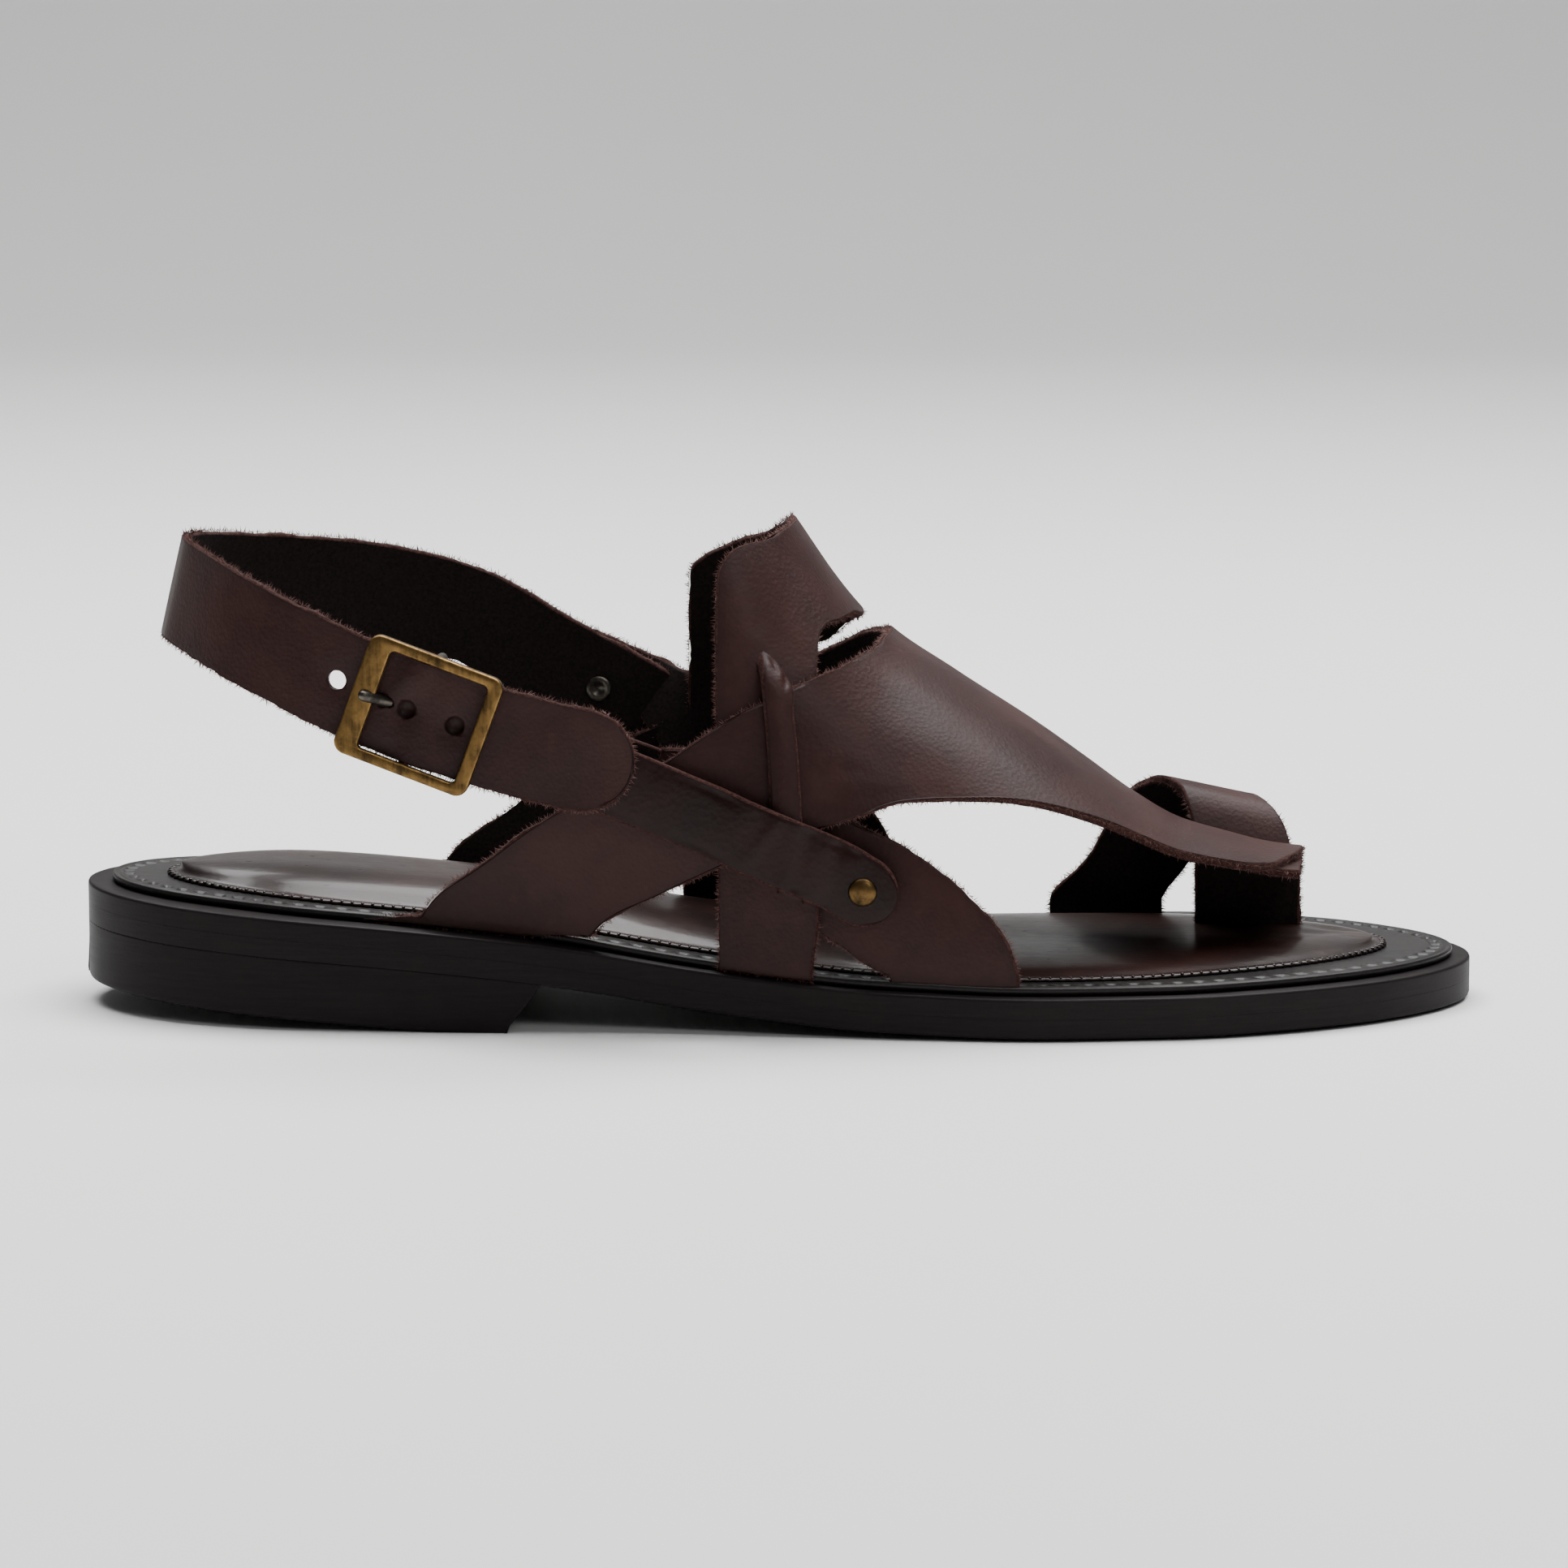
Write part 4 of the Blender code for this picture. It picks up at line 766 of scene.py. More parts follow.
legValues = dict(
    strapSizes, seed=22, spacing=0.0007, thickness=buckle["foldLeather"], edgeRadius=0.0005,
    ragged=0.00004, swell=0.00018, crown=0.00025, fuzz=False, centre=(0.0, 0.0, 0.04),
    tips=((0.0, 1),),
    creases=[
        (((0.020, 0.1), (0.022, 0.9)), -0.0003, 0.0016), (((0.031, 0.2), (0.028, 0.9)), 0.0002, 0.0014),
        (((0.012, 0.08), (0.040, 0.1), (0.070, 0.09)), -0.00018, 0.0007),
        (((0.012, 0.92), (0.040, 0.9), (0.070, 0.91)), -0.00018, 0.0007),
    ],
)
strapPiece(
    "buckleStrapBand", legSheet, legLast, legValues, polishedLeather, "strap_leather", "buckle_strap"
)
print("heel strap and buckle strap made")


def brassLook(name, values):
    look = Look(name)
    where = look.position()
    patina = look.noise(where, 260, 5, 0.65).within(values["patinaStart"], values["patinaStart"] + 0.25)
    worn = look.mark("worn")
    brushed = look.noise(look.position(values["brush"]), 900, 3, 0.6)
    colour = look.mix(patina, values["bright"], values["dark"])
    colour = look.mix(worn * brushed.within(0.2, 0.8), colour, values["gold"])
    rough = values["roughness"] + patina * 0.2 + (brushed - 0.5) * 0.15
    scratched = look.bump(brushed + patina * 0.5, 0.00004, 0.5)
    return look.surface(Base_Color=colour, Metallic=1.0, Roughness=rough, Normal=scratched)


brassFinish = {
    "bright": rgb(0.120, 0.070, 0.026), "dark": rgb(0.030, 0.020, 0.011), "gold": rgb(0.34, 0.20, 0.062),
    "patinaStart": 0.38, "roughness": 0.34, "brush": (1.0, 1.0, 0.15),
}
antiqueBrass = brassLook("antiqueBrass", brassFinish)
darkFinish = dict(
    brassFinish, bright=rgb(0.10, 0.09, 0.075), dark=rgb(0.035, 0.03, 0.027), gold=rgb(0.2, 0.17, 0.12),
)
darkBrass = brassLook("darkBrass", darkFinish)


# Counter-clockwise rounded rectangle
def roundedLoop(halfLong, halfTall, radius, straight, bend, centre):
    loop = []
    for number, (sx, sy) in enumerate(((1, 1), (-1, 1), (-1, -1), (1, -1))):
        corner = np.array([sx * (halfLong - radius), sy * (halfTall - radius)])
        start = number * pi / 2
        for k in range(bend + 1):
            a = start + pi / 2 * k / bend
            loop.append(corner + radius * np.array([cos(a), sin(a)]))
        after = ((-1, 1), (-1, -1), (1, -1), (1, 1))[number]
        following = np.array([after[0] * (halfLong - radius), after[1] * (halfTall - radius)])
        ahead = following + radius * np.array([cos(start + pi / 2), sin(start + pi / 2)])
        loop += [loop[-1] + (ahead - loop[-1]) * n / straight for n in range(1, straight)]
    return np.array(loop) + centre


def buckleFrame():
    windowShift = np.array([(buckle["bar"] - buckle["keeper"]) / 2, 0])
    halfLong, halfTall = buckle["length"] / 2, buckle["height"] / 2
    counts = buckle["sideSteps"], buckle["cornerSteps"]
    outerLoop = roundedLoop(halfLong, halfTall, buckle["outerCorner"], *counts, np.zeros(2))
    windowLong = halfLong - (buckle["bar"] + buckle["keeper"]) / 2
    windowTall = halfTall - buckle["rail"]
    innerLoop = roundedLoop(windowLong, windowTall, buckle["innerCorner"], *counts, windowShift)
    soft = buckle["soft"]
    section = []  # loops round the frame's section, from the outer side over the face into the window
    for depth, mixIn, inset in (
        (-1, 0, soft), (-0.65, 0, 0.0), (0.55, 0, 0.0), (0.88, 0, soft * 0.35), (1, 0, soft),
        (1, 1, -soft), (0.88, 1, -soft * 0.35), (0.55, 1, 0.0), (-0.65, 1, 0.0), (-1, 1, -soft),
    ):
        base = innerLoop if mixIn else outerLoop
        ahead = np.roll(base, -1, 0) - np.roll(base, 1, 0)
        outward = unit(np.stack([ahead[:, 1], -ahead[:, 0]], -1))
        flatLoop = base - outward * inset
        plane = frameCentre + outAxis * depth * buckle["thick"] / 2
        section.append(plane + flatLoop[:, :1] * runAxis + flatLoop[:, 1:] * upAxis)
    count, total = len(outerLoop), len(section)
    points, faces = np.vstack(section), []
    for s in range(total):
        for k in range(count):
            a, b = s * count + k, s * count + (k + 1) % count
            c, d = ((s + 1) % total) * count + (k + 1) % count, ((s + 1) % total) * count + k
            faces.append((a, b, c, d))
    return meshFrom("frameRing", points, faces, {"worn": np.repeat(buckle["worn"], count)})


frameRing = buckleFrame()
finishPiece(frameRing, antiqueBrass, "antique_brass", "buckle_frame")

# Hidden bar and its two posts behind the frame
barProfile = rodProfile(buckle["barRadius"], buckle["height"] / 2 - buckle["barShort"])
barRod = turnedPiece("hiddenBar", barProfile, bar, upAxis, 24)
finishPiece(barRod, darkBrass, "dark_brass", "buckle_frame")
tall, wide = buckle["barDepth"], buckle["postRadius"]
profile = ((0, -0.0006), (0.0008, -0.0006), (wide, -0.0002))
profile += ((wide, tall - 0.0004), (buckle["postTip"], tall), (0, tall))
for label, side in (("Lower", -1), ("Upper", 1)):
    foot = bar + upAxis * (buckle["height"] / 2 - buckle["postInset"]) * side
    post = turnedPiece(f"barPost{label}", profile, foot, outAxis, 20)
    finishPiece(post, darkBrass, "dark_brass", "buckle_frame")

# Prong: a rod with a rounded tip that rests on the frame
prongLength, wide = 2 * prongReach, buckle["prongRadius"]
profile = [(0, 0), (buckle["prongStart"], 0), (wide, 0.0008), (wide, prongLength - 0.0016)]
for a in (0.3, 0.7, 1.1, 1.35):
    profile.append((wide * cos(a), prongLength - 0.0012 + 0.0012 * sin(a)))
profile.append((0, prongLength))
prong = turnedPiece("prongRod", profile, prongRoot, prongWay, 28)
finishPiece(prong, darkBrass, "dark_brass", "buckle_prong")

# Rivets: a low dome on a thin rim, with a flat tail inside
rivet = {
    "cap": 0.0029, "dome": 0.0013, "shank": 0.0012, "reach": 0.0038, "gap": 0.0003, "seat": 0.0002,
    "tail": 0.0006,
}


def rivetPiece(name, centre, axis, front, back, node):
    profile = [(0, front + rivet["dome"])]
    for degrees in (82, 70, 58, 46, 34, 22, 12, 4):
        a = radians(degrees)
        profile.append((rivet["cap"] * 0.97 * cos(a), front + 0.0002 + (rivet["dome"] - 0.0002) * sin(a)))
    profile += [(rivet["cap"], front + 0.0001), (rivet["cap"] * 0.98, front), (rivet["shank"], front)]
    profile += [(rivet["shank"], -back), (rivet["cap"] * 0.9, -back), (rivet["cap"] * 0.9, -back - 0.0004)]
    profile += [(rivet["cap"] * share, -back - rivet["tail"]) for share in (0.75, 0.46)]
    profile += [(rivet["cap"] * 0.36, -back - 0.0001), (0, -back - 0.0001)]
    item = turnedPiece(name, profile, centre, axis, 44)
    look = antiqueBrass if node == "rivet_lateral" else darkBrass
    finishPiece(item, look, "antique_brass", node)


outerAt = np.linalg.norm(place(*outerLeg[0]) - place(*outerLeg[1]))
spot, run, out = acrossFrame(legSheet, outerAt)
out = out if out[1] < 0 else -out
half = buckle["foldLeather"] / 2
rivetPiece("outerRivet", spot, out, half + rivet["seat"], half + rivet["reach"], "rivet_lateral")
innerAt = np.linalg.norm(np.diff(heelPoints[-4:], axis=0), axis=1).sum()
spot, run, out = acrossFrame(heelSheet, heelLast - innerAt)
out = out if out[1] > 0 else -out
half = shoe["leather"] / 2
rivetPiece("innerRivet", spot, out, half + rivet["reach"], half + rivet["gap"], "rivet_medial")
print("buckle and rivets made")


# Sole pieces from stacked outlines
def aroundSole(x, middle, half):
    return np.vstack([np.stack([x, middle - half], -1), np.stack([x, middle + half], -1)[-2:0:-1]])


def outline(insetAt, ends, count):
    u = 0.5 - 0.5 * np.cos(pi * np.arange(count + 1) / count)
    x = -shoe["length"] / 2 + ends[0] + (shoe["length"] - ends[0] - ends[1]) * u
    share = x / shoe["length"] + 0.5
    middle = read(plan, 1, share) * shoe["halfWidth"]
    half = halfWidth(u, insetAt(u), 0)
    half[0] = half[-1] = 0
    return aroundSole(x, middle, half)


def insetLoop(loop, inset):
    ahead = np.roll(loop, -1, 0) - np.roll(loop, 1, 0)
    outward = unit(np.stack([ahead[:, 1], -ahead[:, 0]], -1))
    return loop - outward * np.reshape(inset, (-1, 1))


def shareOf(loop):
    return np.clip(loop[:, 0] / shoe["length"] + 0.5, 0, 1)


def slab(name, loops, capBelow, capAbove, across, marks=None):  # loops of x, y, z from bottom to top
    count = len(loops[0])
    n = count // 2
    points, faces = [*np.vstack(loops)], []
    for level in range(len(loops) - 1):
        for k in range(count):
            a, b = level * count + k, level * count + (k + 1) % count
            faces.append((a, b, b + count, a + count))
    extra = []
    for base, height in ((0, capBelow), ((len(loops) - 1) * count, capAbove)):
        ring = loops[base // count]
        start = len(points)
        for k in range(1, n):
            for j in range(1, across):
                t = j / across
                x, y, z = ring[k] + (ring[count - k] - ring[k]) * t
                points.append(np.array([x, y, height(x / shoe["length"] + 0.5, 2 * t - 1, z)]))
                extra.append(t)

        def index(k, j):
            if k in (0, n):
                return base + k
            if j in (0, across):
                return base + (k if j == 0 else count - k)
            return start + (k - 1) * (across - 1) + j - 1

        for k in range(n):
            for j in range(across):
                quad = [index(k, j), index(k + 1, j), index(k + 1, j + 1), index(k, j + 1)]
                face = [v for m, v in enumerate(quad) if v != quad[m - 1]]
                if len(set(face)) >= 3:
                    faces.append(tuple(face))
    points = np.array(points) + shoe["centring"]
    filled = {}
    for key, values in (marks or {}).items():
        filled[key] = np.concatenate([np.concatenate(values), np.zeros(len(extra))])
    return meshFrom(name, points, faces, filled)


def lifted(loop, height):
    return np.column_stack([loop, height])


def level(share, t, z):  # a cap that keeps the height of its rim
    return z


def soleLook(name, values):
    look = Look(name)
    streak = look.noise(look.position((0.06, 0.06, 1.0)), 1500, 4, 0.6)
    cloud = look.noise(look.position(), 60, 4, 0.6)
    colour = look.mix(streak.within(0.3, 0.75), values["dark"], values["light"])
    colour = look.mix(cloud.within(0.5, 0.72) * 0.4, colour, values["dust"])
    rough = values["roughness"] + (cloud - 0.5) * 0.2 + (streak - 0.5) * 0.12
    height = streak * 0.7 + look.noise(look.position(), 1300, 3, 0.6) * 0.5
    return look.surface(
        Base_Color=colour, Roughness=rough, Specular_IOR_Level=values["specular"],
        Normal=look.bump(height, 0.00010, 0.5),
    )


soleFinish = {
    "dark": rgb(0.0060, 0.0041, 0.0045), "light": rgb(0.0098, 0.0068, 0.0073),
    "dust": rgb(0.0140, 0.0100, 0.0104), "roughness": 0.5, "specular": 0.12,
}
soleEdge = soleLook("burnishedEdge", soleFinish)
heelSizes = {
    "breastTop": 0.335, "breastBottom": 0.311, "flare": 0.0005, "flat": 0.26, "lift": 0.0052,
    "count": 90, "breastCount": 10, "soft": 0.0006, "across": 10,
}
soleSizes = {
    "count": 150, "soft": 0.0007, "seam": 0.00004, "rimSoft": 0.0005, "flatShare": 0.72, "across": 14,
}


def outsoleBottom(share, t, z):
    edge, middle = read(underside, 1, share), read(underside, 2, share)
    climb = np.maximum(0, (np.abs(t) - soleSizes["flatShare"]) / (1 - soleSizes["flatShare"]))
    return (middle + (edge - middle) * climb**2) * shoe["heelRise"]


def layerPiece(name, low, high, softLow, softHigh, capBelow, node):
    base = outline(lambda u: 0, (0, 0), soleSizes["count"])
    fore = np.clip((shareOf(base) - heelSizes["breastTop"]) / 0.05, 0, 1)  # no soft edge over the heel
    loops = []
    for inset, rise in ((1, 0), (0.3, 0.3), (0, 1), (0, 1.5)):
        soft = soleSizes["seam"] + (softLow - soleSizes["seam"]) * fore
        loop = insetLoop(base, inset * soft)
        loops.append(lifted(loop, low(shareOf(loop)) + rise * soft))
    for inset, rise in ((0, 1.5), (0, 1), (0.3, 0.3), (1, 0)):
        loop = insetLoop(base, inset * softHigh)
        loops.append(lifted(loop, high(shareOf(loop)) - rise * softHigh))
    item = slab(name, loops, capBelow, level, soleSizes["across"])
    return finishPiece(item, soleEdge, "sole_edge", node)


def layerJoint(share):
    return bottomEdge(share) + shoe["outsole"] + shoe["jointGap"] * 0.7


layerPiece(
    "soleBottom", bottomEdge, layerJoint, soleSizes["soft"], soleSizes["seam"], outsoleBottom,
    "outsole",
)
layerPiece(
    "soleMiddle", layerJoint, soleTop, soleSizes["seam"], soleSizes["rimSoft"], level, "midsole"
)


def heelPiece():
    count, turnIn = heelSizes["count"], heelSizes["breastCount"]
    u = np.concatenate([0.5 - 0.5 * np.cos(pi * np.arange(count + 1) / count), np.ones(turnIn)])
    narrow = np.concatenate([np.ones(count + 1), 1 - np.arange(1, turnIn + 1) / turnIn])

    def loopAt(level):  # 0 at the floor, 1 under the sole
        back, length = -shoe["length"] / 2, shoe["length"]
        flare = heelSizes["flare"] * (1 - level)
        reach = heelSizes["breastBottom"] + (heelSizes["breastTop"] - heelSizes["breastBottom"]) * level
        x = back - flare + (reach * length + flare) * u
        share = np.clip(x / length + 0.5, 0, 1)
        half = (halfWidth(share, 0, 0) + flare * np.minimum(1, u * 30)) * narrow
        half[0] = 0
        middle = read(plan, 1, share) * shoe["halfWidth"]
        return aroundSole(x, middle, half)

    def floorAt(share):
        return heelSizes["lift"] * np.maximum(0, (heelSizes["flat"] - share) / heelSizes["flat"])

    loops, soft = [], heelSizes["soft"]
    for height, inset, raised in (
        (0, soft, 0.0), (0, soft * 0.3, soft * 0.3), (0, 0, soft), (0, 0, soft * 1.6),
        (0.5, 0, 0), (0.97, 0, 0), (1, 0, 0),
    ):
        loop = insetLoop(loopAt(height), inset)
        share = shareOf(loop)
        low, top = floorAt(share), bottomEdge(share) + shoe["jointGap"]
        loops.append(lifted(loop, np.where(height < 0.2, low + raised, low + (top - low) * height)))
    item = slab("heelBlock", loops, lambda s, t, z: float(floorAt(s)), level, heelSizes["across"])
    return finishPiece(item, soleEdge, "sole_edge", "heel")


heelPiece()
print("sole made")


# Footbed board with two rows of pressed marks, and the crowned pad
def bedLook(name, values):
    look = Look(name)
    where = look.position()
    pressed = look.mark("pressed")
    cloud = look.noise(where, 38, 5, 0.6)
    mottle = look.noise(where, 300, 4, 0.65)
    colour = look.mix(cloud.within(0.32, 0.7), values["dark"], values["light"])
    colour = look.mix(mottle.within(0.55, 0.8) * 0.3, colour, values["warm"])
    fleck = look.noise(look.position((0.25, 1.0, 1.0)), 900, 2, 0.6).within(0.69, 0.74)
    colour = look.mix(fleck * 0.6, colour, values["fleck"])
    colour = look.mix(pressed * 0.85, colour, values["groove"])
    rough = values["roughness"] + (cloud - 0.5) * 0.18 + mottle * 0.1 + fleck * 0.3
    pores = look.cells(where, 950) * 0.5 + look.noise(where, 2400, 3, 0.6) * 0.5
    long = look.bump(look.noise(look.position((0.15, 1.0, 1.0)), 420, 3, 0.6), 0.0002, 0.35)
    return look.surface(
        Base_Color=colour, Roughness=rough, Specular_IOR_Level=values["specular"],
        Coat_Weight=values["coat"], Coat_Roughness=values["coatRoughness"],
        Normal=look.bump(pores, 0.00008, 0.4, long),
    )


padFinish = {
    "dark": rgb(0.0085, 0.0033, 0.0028), "light": rgb(0.0230, 0.0070, 0.0048),
    "warm": rgb(0.036, 0.0115, 0.0075), "fleck": rgb(0.0030, 0.0018, 0.0016),
    "groove": rgb(0.0030, 0.0019, 0.0018), "roughness": 0.33, "specular": 0.25,
    "coat": 0.2, "coatRoughness": 0.14,
}
boardFinish = dict(
    padFinish, dark=rgb(0.0036, 0.0025, 0.0024), light=rgb(0.0080, 0.0050, 0.0045),
    warm=rgb(0.015, 0.0070, 0.0055), roughness=0.42, coat=0.08,
)
padLeather = bedLook("polishedPad", padFinish)
boardLeather = bedLook("toolingBoard", boardFinish)

boardSizes = {
    "count": 700, "ends": (0.005, 0.0037), "soft": 0.0004, "rows": (0.0008, 0.0066, 0.00032),
    "markPitch": 0.0046, "markDuty": 0.62, "markFrom": 0.0022, "markTo": 0.0046,
    "markDepth": 0.00045, "markSlant": 0.0016 / 0.003, "markFade": 0.12, "markBlur": 0.0005,
    "lineAt": 0.0012, "lineDepth": 0.0003, "lineWidth": 0.00035, "lineShade": 0.7, "across": 4,
}


def boardPiece():
    sizes, soft, thick = boardSizes, boardSizes["soft"], shoe["board"]
    base = outline(lambda u: read(rim, 1, u) * shoe["halfWidth"], sizes["ends"], sizes["count"])
    run = runAlong(base)
    loops, pressed = [], []
    levels = [(soft * 0.3, -thick), (0.0, -thick * 0.6), (0.0, -soft), (soft * 0.3, -soft * 0.3), (soft, 0.0)]
    levels += [(inset, None) for inset in np.arange(*sizes["rows"])]
    markMiddle, markSpan = (sizes["markFrom"] + sizes["markTo"]) / 2, sizes["markTo"] - sizes["markFrom"]
    for inset, height in levels:
        loop = insetLoop(base, inset)
        top = boardTop(shareOf(loop))
        dark = np.zeros(len(loop))
        if height is None:
            phase = (run + sizes["markSlant"] * inset) % sizes["markPitch"] / sizes["markPitch"]
            along = np.clip((sizes["markDuty"] / 2 - np.abs(phase - 0.5)) / sizes["markFade"], 0, 1)
            across = np.clip((markSpan / 2 - abs(inset - markMiddle)) / sizes["markBlur"], 0, 1)
            groove = np.exp(-((inset - sizes["lineAt"]) / sizes["lineWidth"]) ** 2)
            dark = np.maximum(along * across, groove * sizes["lineShade"])
            height = -sizes["markDepth"] * along * across - sizes["lineDepth"] * groove
        loops.append(lifted(loop, top + height))
        pressed.append(dark)
    marks = {"pressed": pressed}
    top = lambda s, t, z: float(boardTop(s))
    item = slab("bedBoard", loops, level, top, sizes["across"], marks)
    return finishPiece(item, boardLeather, "board_leather", "footbed_board")


boardPiece()

padSizes = {
    "count": 420, "ends": (0.0165, 0.0175), "pitch": 0.0022, "scallop": 0.00022, "across": 30,
    "lip": 0.0012, "toothFade": 0.0013, "endPower": 7,
    "wornDip": 0.0004, "wornAt": 0.72, "wornLong": 0.09, "wornWide": 0.6,
    "toeDip": 0.0005, "toeLong": 0.018, "toeWide": 0.16,
    "toes": ((0.90, 0.42), (0.885, 0.05), (0.865, -0.25), (0.84, -0.5)),
    "edge": (  # inset, height, darkness
        (0.0, 0.0, 1.0), (-0.0001, 0.0003, 0.6), (0.0002, 0.00062, 0.2), (0.0007, 0.0008, 0.1),
        (0.0013, 0.0007, 0.6), (0.0018, 0.00085, 0.0), (0.0026, 0.0012, 0.0),
    ),
}


def padPiece():
    base = outline(lambda u: read(pad, 1, u) * shoe["halfWidth"], padSizes["ends"], padSizes["count"])
    run = runAlong(base)
    wave = np.cos(run / padSizes["pitch"] * 2 * pi) * padSizes["scallop"]
    loops, pressed = [], []
    for inset, height, dark in padSizes["edge"]:
        loop = insetLoop(base, inset + wave * max(0, 1 - inset / padSizes["toothFade"]))
        loops.append(lifted(loop, boardTop(shareOf(loop)) + shoe["jointGap"] * 0.3 + height))
        pressed.append(np.full(len(loop), dark))

    padLength = shoe["length"] - sum(padSizes["ends"])

    def dip(share, t, at, side, kind):  # a soft hollow pressed by the foot
        long, wide = padSizes[kind + "Long"], padSizes[kind + "Wide"]
        return np.exp(-(((share - at) / long) ** 2) - ((t - side) / wide) ** 2)

    def crown(share, t, z):
        u = np.clip((share * shoe["length"] - padSizes["ends"][0]) / padLength, 0, 1)
        ends = np.sqrt(max(0, 1 - abs(2 * u - 1) ** padSizes["endPower"]))
        rise = read(pad, 2, u) * shoe["halfWidth"] * (1 - t**4) * ends
        tread = padSizes["wornDip"] * dip(share, t, padSizes["wornAt"], 0, "worn")
        toes = sum(padSizes["toeDip"] * dip(share, t, *spot, "toe") for spot in padSizes["toes"])
        return float(boardTop(share) + shoe["jointGap"] + padSizes["lip"] + rise - tread - toes)

    item = slab("bedPad", loops, level, crown, padSizes["across"], {"pressed": pressed})
    finishPiece(item, padLeather, "pad_leather", "footbed_pad")
    return base


padBase = padPiece()
print("footbed made")


# Geometry Nodes: small bodies set along a path, turned to an outward attribute
def pathObject(name, paths):
    mesh = bpy.data.meshes.new(name)
    points = np.vstack([p for p, _ in paths])
    edges, start = [], 0
    for path, _ in paths:
        edges += [(start + k, start + (k + 1) % len(path)) for k in range(len(path))]
        start += len(path)
    mesh.from_pydata([tuple(p) for p in points], edges, [])
    outward = np.vstack([o for _, o in paths]).astype(np.float32)
    mesh.attributes.new("outward", "FLOAT_VECTOR", "POINT").data.foreach_set("vector", outward.ravel())
    return linked(name, mesh)


def alongPathTree(name, body, look, inputs):
    tree = bpy.data.node_groups.new(name, "GeometryNodeTree")
    tree.interface.new_socket("Geometry", in_out="INPUT", socket_type="NodeSocketGeometry")
    sockets = {}
    for label, value in inputs.items():
        socket = tree.interface.new_socket(label, in_out="INPUT", socket_type="NodeSocketFloat")
        socket.default_value = value
        sockets[label] = socket.identifier
    tree.interface.new_socket("Geometry", in_out="OUTPUT", socket_type="NodeSocketGeometry")

    def add(kind, settings=None, values=None):
        made = tree.nodes.new(kind)
        for key, value in (settings or {}).items():
            setattr(made, key, value)
        for key, value in (values or {}).items():
            if isinstance(value, bpy.types.NodeSocket):
                tree.links.new(value, made.inputs[key])
            else:
                made.inputs[key].default_value = value
        return made

    start = add("NodeGroupInput")
    line = add("GeometryNodeMeshToCurve", None, {"Mesh": start.outputs["Geometry"]})
    even = add(
        "GeometryNodeResampleCurve", {"mode": "LENGTH"},
        {"Curve": line.outputs[0], "Length": start.outputs["Pitch"]},
    )
    outward = add("GeometryNodeInputNamedAttribute", {"data_type": "FLOAT_VECTOR"}, {"Name": "outward"})
    stray = add(
        "FunctionNodeRandomValue", {"data_type": "FLOAT_VECTOR"},
        {"Min": (-1, -1, -1), "Max": (1, 1, 1), "Seed": 7},
    )
    spread = add(
        "ShaderNodeVectorMath", {"operation": "SCALE"},
        {0: stray.outputs[0], "Scale": start.outputs["Stray"]},
    )
    way = add("ShaderNodeVectorMath", {"operation": "ADD"}, {0: outward.outputs[0], 1: spread.outputs[0]})
    tangent = add("GeometryNodeInputTangent")
    first = add("FunctionNodeAlignRotationToVector", {"axis": "Z"}, {"Vector": way.outputs[0]})
    second = add(
        "FunctionNodeAlignRotationToVector", {"axis": "X", "pivot_axis": "Z"},
        {"Rotation": first.outputs[0], "Vector": tangent.outputs[0]},
    )
    vary = add(
        "FunctionNodeRandomValue", {"data_type": "FLOAT"},
        {2: start.outputs["Smallest"], 3: 1.0, "Seed": 11},
    )
    shape = body(add, start)
    setOut = add(
        "GeometryNodeInstanceOnPoints", None,
        {
            "Points": even.outputs[0], "Instance": shape,
            "Rotation": second.outputs[0], "Scale": vary.outputs[1],
        },
    )
    real = add("GeometryNodeRealizeInstances", None, {"Geometry": setOut.outputs[0]})
    dressed = add("GeometryNodeSetMaterial", None, {"Geometry": real.outputs[0], "Material": look})
    add("NodeGroupOutput", None, {0: dressed.outputs[0]})
    return tree, sockets


def plainResult(item, name):  # the evaluated nodes as a plain mesh piece
    graph = bpy.context.evaluated_depsgraph_get()
    mesh = bpy.data.meshes.new_from_object(item.evaluated_get(graph), depsgraph=graph)
    item.modifiers.clear()
    bpy.data.objects.remove(item, do_unlink=True)
    return linked(name, mesh)


def grow(item, name, body, look, sizes):
    tree, sockets = alongPathTree(f"{name}Nodes", body, look, sizes)
    modifier = item.modifiers.new("Along", "NODES")
    modifier.node_group = tree
    for label, value in sizes.items():
        modifier[sockets[label]] = value
    return plainResult(item, name)


def fibreBody(add, start):
    cone = add(
        "GeometryNodeMeshCone", None,
        {
            "Vertices": 3, "Radius Top": 0.000012,
            "Radius Bottom": start.outputs["Thick"], "Depth": start.outputs["Reach"],
        },
    )
    return cone.outputs[0]


def toothBody(add, start):
    ball = add("GeometryNodeMeshIcoSphere", None, {"Radius": 1.0, "Subdivisions": 2})
    size = add(
        "ShaderNodeCombineXYZ", None,
        {"X": start.outputs["Thick"], "Y": start.outputs["Rise"], "Z": start.outputs["Reach"]},
    )
    flat = add("GeometryNodeTransform", None, {"Geometry": ball.outputs[0], "Scale": size.outputs[0]})
    return flat.outputs[0]


def fibreLook():
    look = Look("edgeFibre")
    tint = look.noise(look.position(), 400, 2)
    colour = look.mix(tint, fibreFinish["dark"], fibreFinish["light"])
    return look.surface(Base_Color=colour, Roughness=fibreFinish["roughness"])


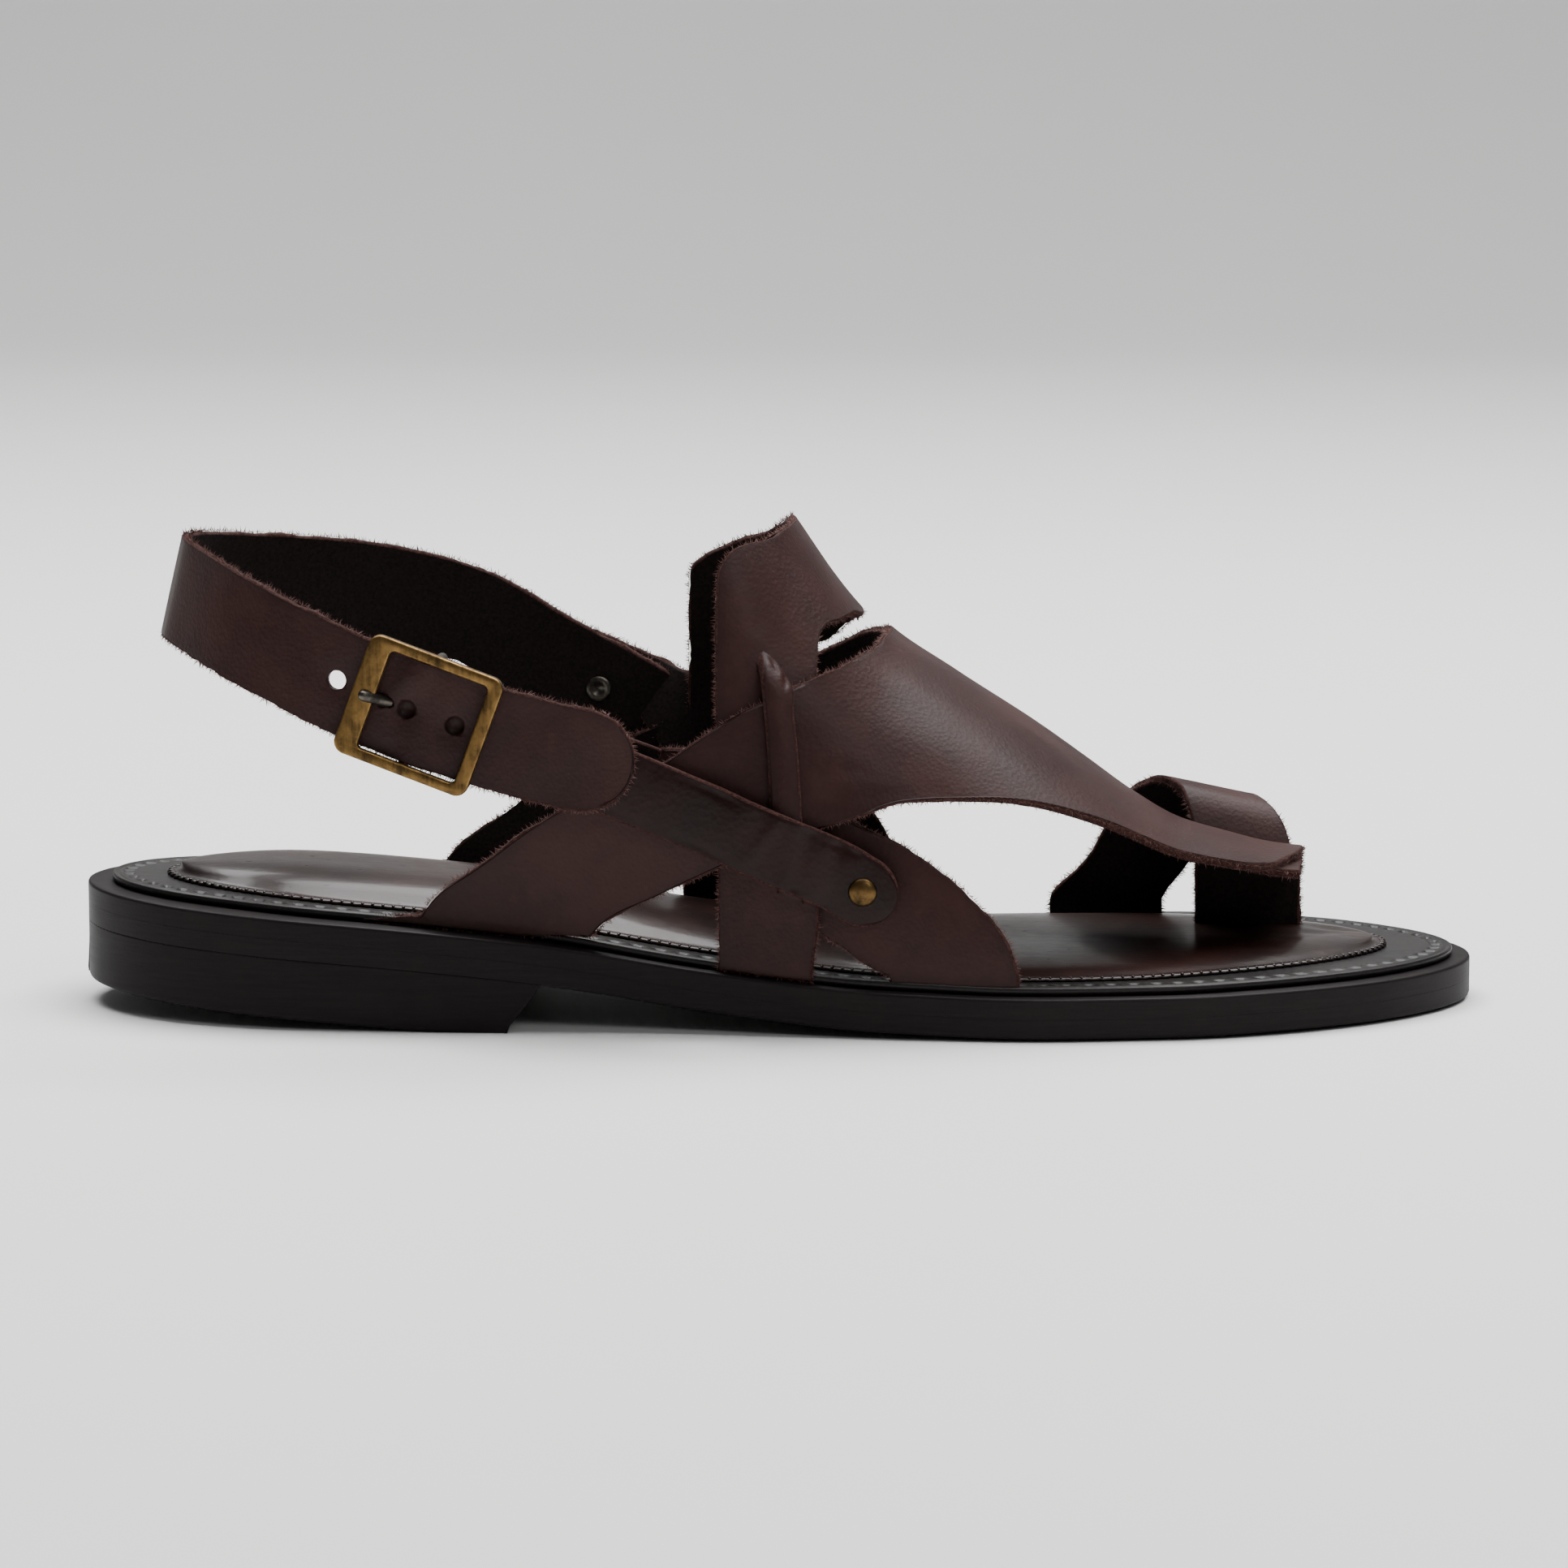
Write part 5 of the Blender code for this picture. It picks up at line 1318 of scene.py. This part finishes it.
fibreFinish = {"dark": rgb(0.06, 0.022, 0.018), "light": rgb(0.15, 0.07, 0.06), "roughness": 0.85}
fibreSizes = {
    "Pitch": 0.00032, "Stray": 0.9, "Smallest": 0.2, "Thick": 0.00014, "Reach": 0.0013, "Rise": 0.0,
}
fibres = grow(pathObject("fuzzLines", fuzzPaths), "edgeFibres", fibreBody, fibreLook(), fibreSizes)
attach(fibres, "root")

toothSizes = {
    "Pitch": 0.0021, "Stray": 0.02, "Smallest": 0.85, "Thick": 0.00042, "Reach": 0.0007, "Rise": 0.00032,
}
toothPlace = {"inset": 0.0006, "height": 0.00075}
toothLoop = insetLoop(padBase, toothPlace["inset"])
toothPath = lifted(toothLoop, boardTop(shareOf(toothLoop)) + toothPlace["height"]) + shoe["centring"]
toothOut = np.column_stack([unit(toothLoop - insetLoop(padBase, 0.002)), np.zeros(len(toothLoop))])
toothLine = pathObject("toothLine", [(toothPath, toothOut)])
teeth = grow(toothLine, "padTeeth", toothBody, padLeather, toothSizes)
teeth.data.attributes.new("pressed", "FLOAT", "POINT")
teeth.data.shade_smooth()
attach(teeth, "root")
print("fibres and pressed teeth made")

# Room: pale floor that curves up into the backdrop, soft light, camera
room = {
    "floor": rgb(0.80, 0.80, 0.79), "speck": rgb(0.77, 0.77, 0.765), "back": 1.6, "bend": 0.8,
    "bendSteps": 16, "width": 5.0, "front": -2.2, "wall": 2.6,
    "sky": rgb(0.82, 0.84, 0.86), "skyStrength": 0.12,
}


def backdrop():
    profile = [(room["front"], 0.0), (0.0, 0.0), (room["back"], 0.0)]
    for k in range(1, room["bendSteps"] + 1):
        a = pi / 2 * k / room["bendSteps"]
        profile.append((room["back"] + room["bend"] * sin(a), room["bend"] * (1 - cos(a))))
    profile.append((room["back"] + room["bend"], room["wall"]))
    points = [(side * room["width"] / 2, y, z) for y, z in profile for side in (-1, 1)]
    faces = [(2 * k, 2 * k + 1, 2 * k + 3, 2 * k + 2) for k in range(len(profile) - 1)]
    mesh = bpy.data.meshes.new("backdrop")
    mesh.from_pydata(points, [], faces)
    mesh.shade_smooth()
    item = linked("backdrop", mesh)
    look = Look("paleFloor")
    colour = look.mix(look.noise(look.position(), 9, 3), room["floor"], room["speck"])
    paper = look.surface(Base_Color=colour, Roughness=0.6, Specular_IOR_Level=0.25)
    item.data.materials.append(paper)


backdrop()

lights = {
    "overhead": {"at": (0.10, 0.35, 1.30), "aim": (0, 0.05, 0), "size": (1.8, 1.2), "power": 66},
    "front": {"at": (0.7, -1.3, 1.1), "aim": (0, 0, 0.03), "size": (0.6, 0.5), "power": 6},
    "backdrop": {"at": (0, 1.0, 1.6), "aim": (0, 2.3, 0.4), "size": (2.5, 0.6), "power": 4},
}
for name, values in lights.items():
    lamp = bpy.data.lights.new(name, "AREA")
    lamp.shape, lamp.size, lamp.size_y, lamp.energy = "RECTANGLE", *values["size"], values["power"]
    item = linked(name, lamp)
    item.location = values["at"]
    item.rotation_mode = "QUATERNION"
    aimed = Vector(values["aim"]) - Vector(values["at"])
    item.rotation_quaternion = aimed.to_track_quat("-Z", "Y")
world = bpy.data.worlds.new("softRoom")
world.use_nodes = True
sky = world.node_tree.nodes["Background"]
sky.inputs["Color"].default_value = room["sky"]
sky.inputs["Strength"].default_value = room["skyStrength"]
bpy.context.scene.world = world

view = {"lens": 145.5, "distance": 1.302, "aim": (0.00125, 0.0005, 0.0445), "down": 8.708, "turn": 1.026}
camera = linked("camera", bpy.data.cameras.new("camera"))
camera.data.lens, camera.data.sensor_width = view["lens"], 36
down, aside = radians(view["down"]), radians(view["turn"])
forward = Vector((-sin(aside) * cos(down), cos(aside) * cos(down), -sin(down)))
camera.location = Vector(view["aim"]) - forward * view["distance"]
camera.rotation_euler = (pi / 2 - down, 0, aside)
camera.data.clip_start, camera.data.clip_end = 0.05, 20
bpy.context.scene.camera = camera
print("room, light and camera made")
